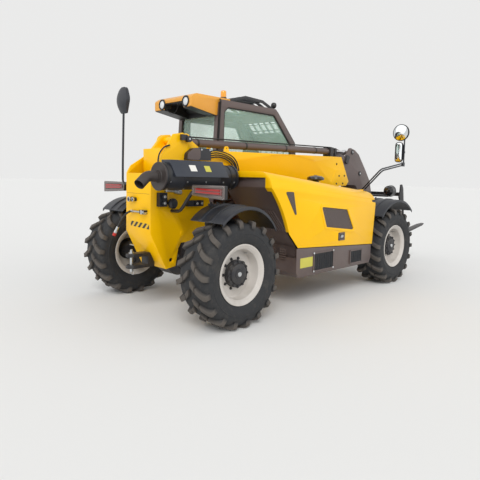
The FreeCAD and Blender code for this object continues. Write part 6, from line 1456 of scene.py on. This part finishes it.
class DressRear(bpy.types.Operator):
    """Rear wall: seam, hatched tape, couplers, hose stub and the tow pin"""
    bl_idname = "telehandler.rear"
    bl_label = "Rear wall"

    def execute(self, context):
        wall = on_end(REAR_WALL_X, -1)
        seam = slab("seam", oblong(0.0, 1290.0, 424.0, 2.4), 0.0, 0.5, wall, "inner_dark")
        grouped("rear_seam", [seam], "chassis", "black_plastic")
        tape = slab("hazard_tape", ((142.0, 937.0), (-208.0, 925.0), (-208.0, 981.0), (142.0, 991.0)), 0.0, 0.7, wall,
                    "hatch", 4.0)
        seat_on(tape, "chassis", "yellow_paint")
        self.couplers(wall)
        self.side_fittings()
        self.tower()
        return {"FINISHED"}

    def couplers(self, wall):
        metal, black = [], []
        for y, radius, out in ((96.0, 25.0, 58.0), (40.0, 18.0, 44.0)):
            place = about_line(REAR_WALL_X, y, 1226.0, "x", -1)
            metal.append(turned("ring", ((out - 12.0, radius + 0.5), (out - 12.0, radius + 3.0),
                                         (out + 1.0, radius + 3.0), (out + 2.0, radius - 5.0), (out - 6.0, radius - 6.0)),
                                place, "zinc", 28))
            black.append(turned("plug", ((out - 8.0, 0.0), (out - 8.0, radius - 5.5), (out - 1.0, radius - 7.0),
                                         (out - 1.0, 0.0)), place, "lining", 24))
        bm = bmesh.new()
        bar(bm, wall(100.0, 1097.0, 26.0), wall(-112.0, 1100.0, 26.0), 9.0, 16)
        bar(bm, wall(-112.0, 1100.0, 26.0), wall(-150.0, 1101.0, 26.0), 17.0, 6)
        bar(bm, wall(-150.0, 1101.0, 26.0), wall(-176.0, 1101.5, 26.0), 24.0, 20)
        bar(bm, wall(-137.0, 1080.0, 48.0), wall(-137.0, 1123.0, 48.0), 11.0, 14)
        bar(bm, wall(66.0, 1097.0, 26.0), wall(96.0, 1097.0, 26.0), 15.0, 6)
        metal.append(new_piece("coupler", bm, finished("zinc")))
        route = [at(x, y, z) for x, y, z in ((-496.0, 84.0, 1097.0), (-512.0, 110.0, 1094.0), (-560.0, 124.0, 1052.0),
                                             (-596.0, 140.0, 990.0), (-622.0, 158.0, 920.0))]
        black.append(pipe("stub", route, 11.0, finished("hose")))
        tip = (route[-1] - route[-2]).normalized()
        for start, end, radius, sides in ((-0.01, 0.035, 15.0, 16), (0.035, 0.055, 18.0, 6), (0.055, 0.075, 13.0, 16)):
            bm = bmesh.new()
            bar(bm, route[-1] + tip * start, route[-1] + tip * end, radius, sides)
            metal.append(new_piece("coupling", bm, finished("zinc")))
        bm = bmesh.new()
        bar(bm, route[-1] + tip * 0.062, route[-1] + tip * 0.094, 20.0, 20, 17.0)
        seat_on(new_piece("coupling_cap", bm, finished("red_cap")), "chassis", "lamp_red")
        bm = bmesh.new()
        bar(bm, at(-548.0, 0.0, 460.0), at(-548.0, 0.0, 692.0), 16.6, 20)
        bar(bm, at(-548.0, 0.0, 655.5), at(-548.0, 0.0, 668.5), 30.5, 24)
        bar(bm, at(-548.0, 0.0, 690.0), at(-548.0, 0.0, 700.0), 11.0, 16)
        metal.append(new_piece("tow_pin", bm, finished("zinc")))
        metal.append(pipe("pin_clip", [at(x, y, z) for x, y, z in (
            (-548.0, -18.0, 476.0), (-548.0, -40.0, 470.0), (-548.0, -46.0, 440.0), (-548.0, -10.0, 432.0),
            (-548.0, 22.0, 446.0))], 3.0, finished("zinc"), 0.5, 8))
        bm = bmesh.new()
        bar(bm, at(-392.0, 205.0, 705.0), at(-432.0, 225.0, 718.0), 7.0, 10)
        metal.append(new_piece("stay_pin", bm, finished("zinc")))
        grouped("rear_couplers", metal, "chassis", "chrome_rod")
        grouped("rear_plugs_and_hose", black, "chassis", "black_plastic")

    def side_fittings(self):
        """Bright caps and stems of the ports, valve and strut beside the tower."""
        y = -PLATE_OUTER
        metal = []
        for x, z, out, radius in ((-350.0, 1200.0, 84.0, 17.0), (-350.0, 1266.0, 84.0, 17.0), (84.0, 1186.0, 78.0, 15.0),
                                  (150.0, 1186.0, 78.0, 15.0)):
            place = about_line(x, y, z, "y", -1)
            metal.append(turned("cap", ((out - 3.0, 0.0), (out - 3.0, radius), (out + 3.0, radius - 2.0),
                                        (out + 6.0, radius - 6.0), (out + 6.0, 0.0)), place, "zinc", 24))
        bm = bmesh.new()
        bar(bm, at(-300.0, y - 30.0, 1326.0), at(-190.0, y - 30.0, 1316.0), 11.0, 14)
        bar(bm, at(-190.0, y - 30.0, 1316.0), at(-150.0, y - 30.0, 1313.0), 22.0, 6)
        bar(bm, at(-150.0, y - 30.0, 1313.0), at(-112.0, y - 30.0, 1310.0), 27.0, 18)
        bar(bm, at(-300.0, y + 4.0, 1326.0), at(-300.0, y - 40.0, 1326.0), 12.0, 12)
        bar(bm, at(-132.0, y + 4.0, 1312.0), at(-132.0, y - 30.0, 1312.0), 14.0, 12)
        metal.append(new_piece("strut", bm, finished("zinc")))
        grouped("tower_fittings", metal, "chassis", "chrome_rod")

    def tower(self):
        """Leads on the tower, the cover's screws and the hoses from it to the boom."""
        y = -PLATE_OUTER
        black = [pipe("lead", [at(a, y - 9.0, b) for a, b in (
            (-392.0, 1600.0), (-390.0, 1650.0), (-374.0, 1712.0), (-330.0, 1768.0), (-286.0, 1792.0), (-245.0, 1802.0))],
            8.0, finished("hose"))]
        for k in range(4):
            up, out = 23.0 * k, 6.0 * (k % 2)
            black.append(pipe("hose", [at(a, b, c) for a, b, c in (
                (284.0, y - 18.0 - out, 1688.0 + up), (350.0, y - 22.0 - out, 1702.0 + up * 1.1),
                (450.0, y + 2.0, 1712.0 + up), (580.0, -206.0 - out, 1700.0 + up), (680.0 + 14.0 * k, -205.0 - out, 1655.0 + up),
                (742.0 + 20.0 * k, -205.0 - out, 1580.0 + up * 0.6), (752.0 + 22.0 * k, -208.0 - out, 1480.0),
                (744.0 + 22.0 * k, -212.0 - out, 1330.0))], 8.0, finished("hose")))
        seat_on(joined("tower_hoses", black), "chassis", "black_plastic")
        cover = ((-51.0, 1661.0), (-43.0, 1730.0), (36.0, 1785.0), (132.0, 1797.0), (132.0, 1661.0))
        seat_on(slab("tower_cover", cover, 60.0, 61.5, on_side(y, -1), "grey_paint", 40.0), "chassis", "grey_paint")
        screws = [(at(x, y - 56.0, 1776.0), Vector((0, -1, 0))) for x in (150.0, 270.0)]
        screws += [(at(PIVOT[0], y - 62.0, PIVOT[1]), Vector((0, -1, 0)))]
        seat_on(flat_head_bolts("tower_screws", screws, "zinc", 12.0, 7.0), "chassis", "chrome_rod")


# Boom
BARREL_UP = -17.0
BARREL_RADIUS = 47.5
BOOM_SIDE = 174.0
BOOM_FRONT = WHEELBASE + 125.0


class DressBoom(bpy.types.Operator):
    """Pipe and clamps along the extension cylinder, pin caps, pad screws and hose block"""
    bl_idname = "telehandler.boom"
    bl_label = "Boom"

    def execute(self, context):
        black = [pipe("pipe", [on_boom(a, b, y) for a, b, y in (
            (150.0, 20.0, -30.0), (210.0, 44.0, -26.0), (300.0, 46.0, -22.0), (BOOM_FRONT - 260.0, 46.0, -22.0),
            (BOOM_FRONT - 170.0, 46.0, -22.0), (BOOM_FRONT - 130.0, 34.0, -24.0))], 9.0, finished("hose"))]
        for along in (330.0, 1130.0, 1930.0, 2640.0):
            bm = bmesh.new()
            profile = ((along - 14.0, BARREL_RADIUS), (along - 14.0, BARREL_RADIUS + 3.0),
                       (along + 14.0, BARREL_RADIUS + 3.0), (along + 14.0, BARREL_RADIUS))
            revolve(bm, profile, 36, lambda offset, radius, turn: on_boom(
                offset, BARREL_UP + radius * math.sin(turn), radius * math.cos(turn)))
            black.append(new_piece("clamp", bm, finished("lining")))
        bm = bmesh.new()
        front = BOOM_FRONT - 70.0
        for low, high, up, half in ((-196.0, -116.0, 44.0, 72.0), (-60.0, -18.0, 38.0, 58.0)):
            outline = [(front + low, -100.0), (front + high, -100.0), (front + high, up), (front + low, up)]
            prism(bm, outline, -half, half, lambda a, b, depth: on_boom(a, b, depth))
        black.append(new_piece("block", bm, finished("black_paint")))
        profile = ((front - 24.0, BARREL_RADIUS), (front - 24.0, BARREL_RADIUS + 8.0), (front + 4.0, BARREL_RADIUS + 8.0),
                   (front + 8.0, BARREL_RADIUS), (front + 8.0, 29.0), (front, 29.0))
        bm = bmesh.new()
        revolve(bm, profile, 40, lambda offset, radius, turn: on_boom(
            offset, BARREL_UP + radius * math.sin(turn), radius * math.cos(turn)))
        black.append(new_piece("gland", bm, finished("black_paint")))
        grouped("boom_pipe_and_clamps", black, "boom", "black_plastic")
        screws = []
        for side in (-1, 1):
            for along, up in ((BOOM_FRONT - 240.0, -216.0), (BOOM_FRONT - 170.0, -399.0), (BOOM_FRONT - 20.0, -399.0),
                              (BOOM_FRONT - 240.0, -520.0), (BOOM_FRONT - 60.0, -520.0)):
                screws.append((on_boom(along, up, side * (BOOM_SIDE - (4.0 if up > -300.0 else 0.0))),
                               Vector((0, side, 0))))
        seat_on(flat_head_bolts("pad_screws", screws, "seal", 19.0, 8.0), "boom", "black_plastic")
        self.head()
        return {"FINISHED"}

    def head(self):
        """Caps of the head's pins with their keeper screws, and the hose block on the head plate."""
        caps, bolts = [], []
        eye = (math.cos(BOOM_REST_ANGLE) * (BOOM_FRONT + 231.0) + PIVOT[0] + 0.3,
               PIVOT[1] + math.sin(BOOM_REST_ANGLE) * (BOOM_FRONT + 231.0) + BARREL_UP)
        for side in (-1, 1):
            for x, z, radius in ((eye[0], eye[1], 36.0), (WHEELBASE + 590.0, 1589.0, 38.0), (WHEELBASE + 980.0, 760.0, 40.0)):
                place = about_line(x, 0.0, z, "y", side)
                start = 150.0 if z > 1000.0 else 174.0
                caps.append(turned("cap", ((start, 0.0), (start, radius), (start + 9.0, radius), (start + 13.0, radius - 5.0),
                                           (start + 13.0, 0.0)), place, "black_paint", 32))
                bolts.append((place(start + 13.0, 0.0, 0.0), Vector((0, side, 0))))
            box_place = on_side(side * 150.0, side)
            caps.append(slab("hose_block", ((3228.0, 1752.0), (3296.0, 1730.0), (3346.0, 1848.0), (3272.0, 1876.0)),
                             0.0, 34.0, box_place, "black_paint", 12.0))
        grouped("head_pin_caps", caps, "boom_extension", "black_paint")
        seat_on(flat_head_bolts("head_pin_screws", bolts, "zinc", 17.0, 9.0), "boom_extension", "chrome_rod")


# Mudguards
GUARD_ARCS = {"r": ((-275.0, 1052.0), (95.0, 1200.0), (470.0, 962.0)), "f": ((-400.0, 985.0), (80.0, 1205.0), (505.0, 1040.0))}


class DressMudguards(bpy.types.Operator):
    """Clamp plates and bolts that hold each mudguard to its stay"""
    bl_idname = "telehandler.mudguards"
    bl_label = "Mudguards"

    def execute(self, context):
        for tag, (x, side) in WHEELS.items():
            crown_x, crown_z = GUARD_ARCS[tag[0]][1]
            bm = bmesh.new()
            places = []
            for y in (668.0, 768.0):
                block(bm, (x + crown_x - 150.0, x + crown_x - 20.0), (side * (y - 20.0), side * (y + 20.0)),
                      (crown_z - 12.0, crown_z + 8.0))
                for along in (-128.0, -42.0):
                    places.append((at(x + crown_x + along, side * y, crown_z + 7.0), Vector((0, 0, 1))))
            plates = new_piece("guard_plates", bm, finished("black_plastic"))
            bolts = flat_head_bolts("guard_bolts", places, "seal", 20.0, 16.0)
            grouped("mudguard_clamps_" + tag, [plates, bolts], "knuckle_" + tag, "black_plastic")
        return {"FINISHED"}


# Studio
class SetStudio(bpy.types.Operator):
    """Pale floor and backdrop, soft lamps and the camera"""
    bl_idname = "telehandler.studio"
    bl_label = "Studio"

    def execute(self, context):
        settings = context.scene.studio_settings
        self.camera(settings)
        self.floor(settings)
        self.lamps()
        context.scene.view_settings.view_transform = "Standard"
        return {"FINISHED"}

    def camera(self, settings):
        data = bpy.data.cameras.new("camera")
        data.sensor_width = 36.0
        data.lens = settings.lens
        data.shift_y = settings.shift
        data.clip_end = 200.0
        camera = bpy.data.objects.new("camera", data)
        bpy.context.scene.collection.objects.link(camera)
        bpy.context.scene.camera = camera
        yaw, pitch, roll = settings.yaw, settings.pitch, settings.roll
        ahead = Vector((math.cos(pitch) * math.cos(yaw), math.cos(pitch) * math.sin(yaw), math.sin(pitch)))
        right = Vector((math.sin(yaw), -math.cos(yaw), 0.0))
        up = right.cross(ahead)
        right, up = (right * math.cos(roll) + up * math.sin(roll), up * math.cos(roll) - right * math.sin(roll))
        basis = Matrix((right, up, -ahead)).transposed()
        camera.matrix_world = Matrix.Translation(at(*settings.place)) @ basis.to_4x4()

    def floor(self, settings):
        material, tree, shader = blank_material("matt studio paint")
        tint = linear(settings.floor)
        shader.inputs["Base Color"].default_value = tint
        shader.inputs["Roughness"].default_value = 0.85
        bm = bmesh.new()
        bmesh.ops.create_grid(bm, x_segments=1, y_segments=1, size=120.0)
        floor = new_piece("studio_floor", bm, material)
        world = bpy.data.worlds.new("studio air")
        bpy.context.scene.world = world
        world.use_nodes = True
        tree = world.node_tree
        tree.nodes.clear()
        rays = add(tree, "ShaderNodeLightPath").outputs
        seen = rays["Is Camera Ray"]
        for kind in ("Is Glossy Ray", "Is Transmission Ray"):
            seen = add(tree, "ShaderNodeMath", {0: seen, 1: rays[kind]}, operation="MAXIMUM").outputs[0]
        plain = add(tree, "ShaderNodeBackground", {"Color": (0.95, 0.97, 1.0, 1.0), "Strength": 0.62})
        shown = add(tree, "ShaderNodeBackground", {"Color": (0.825, 0.825, 0.82, 1.0), "Strength": 1.0})
        mix = add(tree, "ShaderNodeMixShader", {0: seen, 1: plain.outputs[0], 2: shown.outputs[0]})
        add(tree, "ShaderNodeOutputWorld", {0: mix.outputs[0]})

    def lamps(self):
        """Large soft sources, far enough off to light the floor evenly."""
        # Columns: name, direction from which it shines, strength, softness in degrees
        for name, source, strength, soft in (
                ("key", (-4200.0, -5600.0, 7600.0), 1.55, 28.0),
                ("fill", (-6500.0, 3800.0, 4200.0), 0.55, 60.0),
                ("side", (5200.0, -6800.0, 3600.0), 0.45, 60.0)):
            data = bpy.data.lights.new(name, "SUN")
            data.energy = strength
            data.angle = math.radians(soft)
            lamp = bpy.data.objects.new(name, data)
            bpy.context.scene.collection.objects.link(lamp)
            spot = at(*source)
            aim = at(1500.0, 0.0, 800.0) - spot
            lamp.matrix_world = Matrix.Translation(spot) @ aim.to_track_quat("-Z", "Y").to_matrix().to_4x4()


class TelehandlerPanel(bpy.types.Panel):
    """Sizes, colours and the steps, in the sidebar"""
    bl_idname = "VIEW3D_PT_telehandler"
    bl_label = "Telehandler"
    bl_space_type = "VIEW_3D"
    bl_region_type = "UI"
    bl_category = "Telehandler"

    def draw(self, context):
        for group in (context.scene.machine_colours, context.scene.machine_sizes, context.scene.studio_settings):
            for name in group.bl_rna.properties.keys():
                if name not in ("rna_type", "name"):
                    self.layout.prop(group, name)
        for operator in OPERATORS:
            self.layout.operator(operator.bl_idname)


OPERATORS = (SetStudio, DressPanels, DressWheels, DressCab, DressSeat, DressLamps, DressMirrors, DressSides,
             DressExhaust, DressRear, DressBoom, DressMudguards)
CLASSES = (MachineColours, MachineSizes, StudioSettings) + OPERATORS + (TelehandlerPanel,)


def register():
    for item in CLASSES:
        bpy.utils.register_class(item)
    bpy.types.Scene.machine_colours = bpy.props.PointerProperty(type=MachineColours)
    bpy.types.Scene.machine_sizes = bpy.props.PointerProperty(type=MachineSizes)
    bpy.types.Scene.studio_settings = bpy.props.PointerProperty(type=StudioSettings)


def unregister():
    del bpy.types.Scene.machine_colours
    del bpy.types.Scene.machine_sizes
    del bpy.types.Scene.studio_settings
    for item in reversed(CLASSES):
        bpy.utils.unregister_class(item)


def main():
    register()
    for operator in OPERATORS:
        family, name = operator.bl_idname.split(".")
        getattr(getattr(bpy.ops, family), name)()


if __name__ == "__main__":
    main()
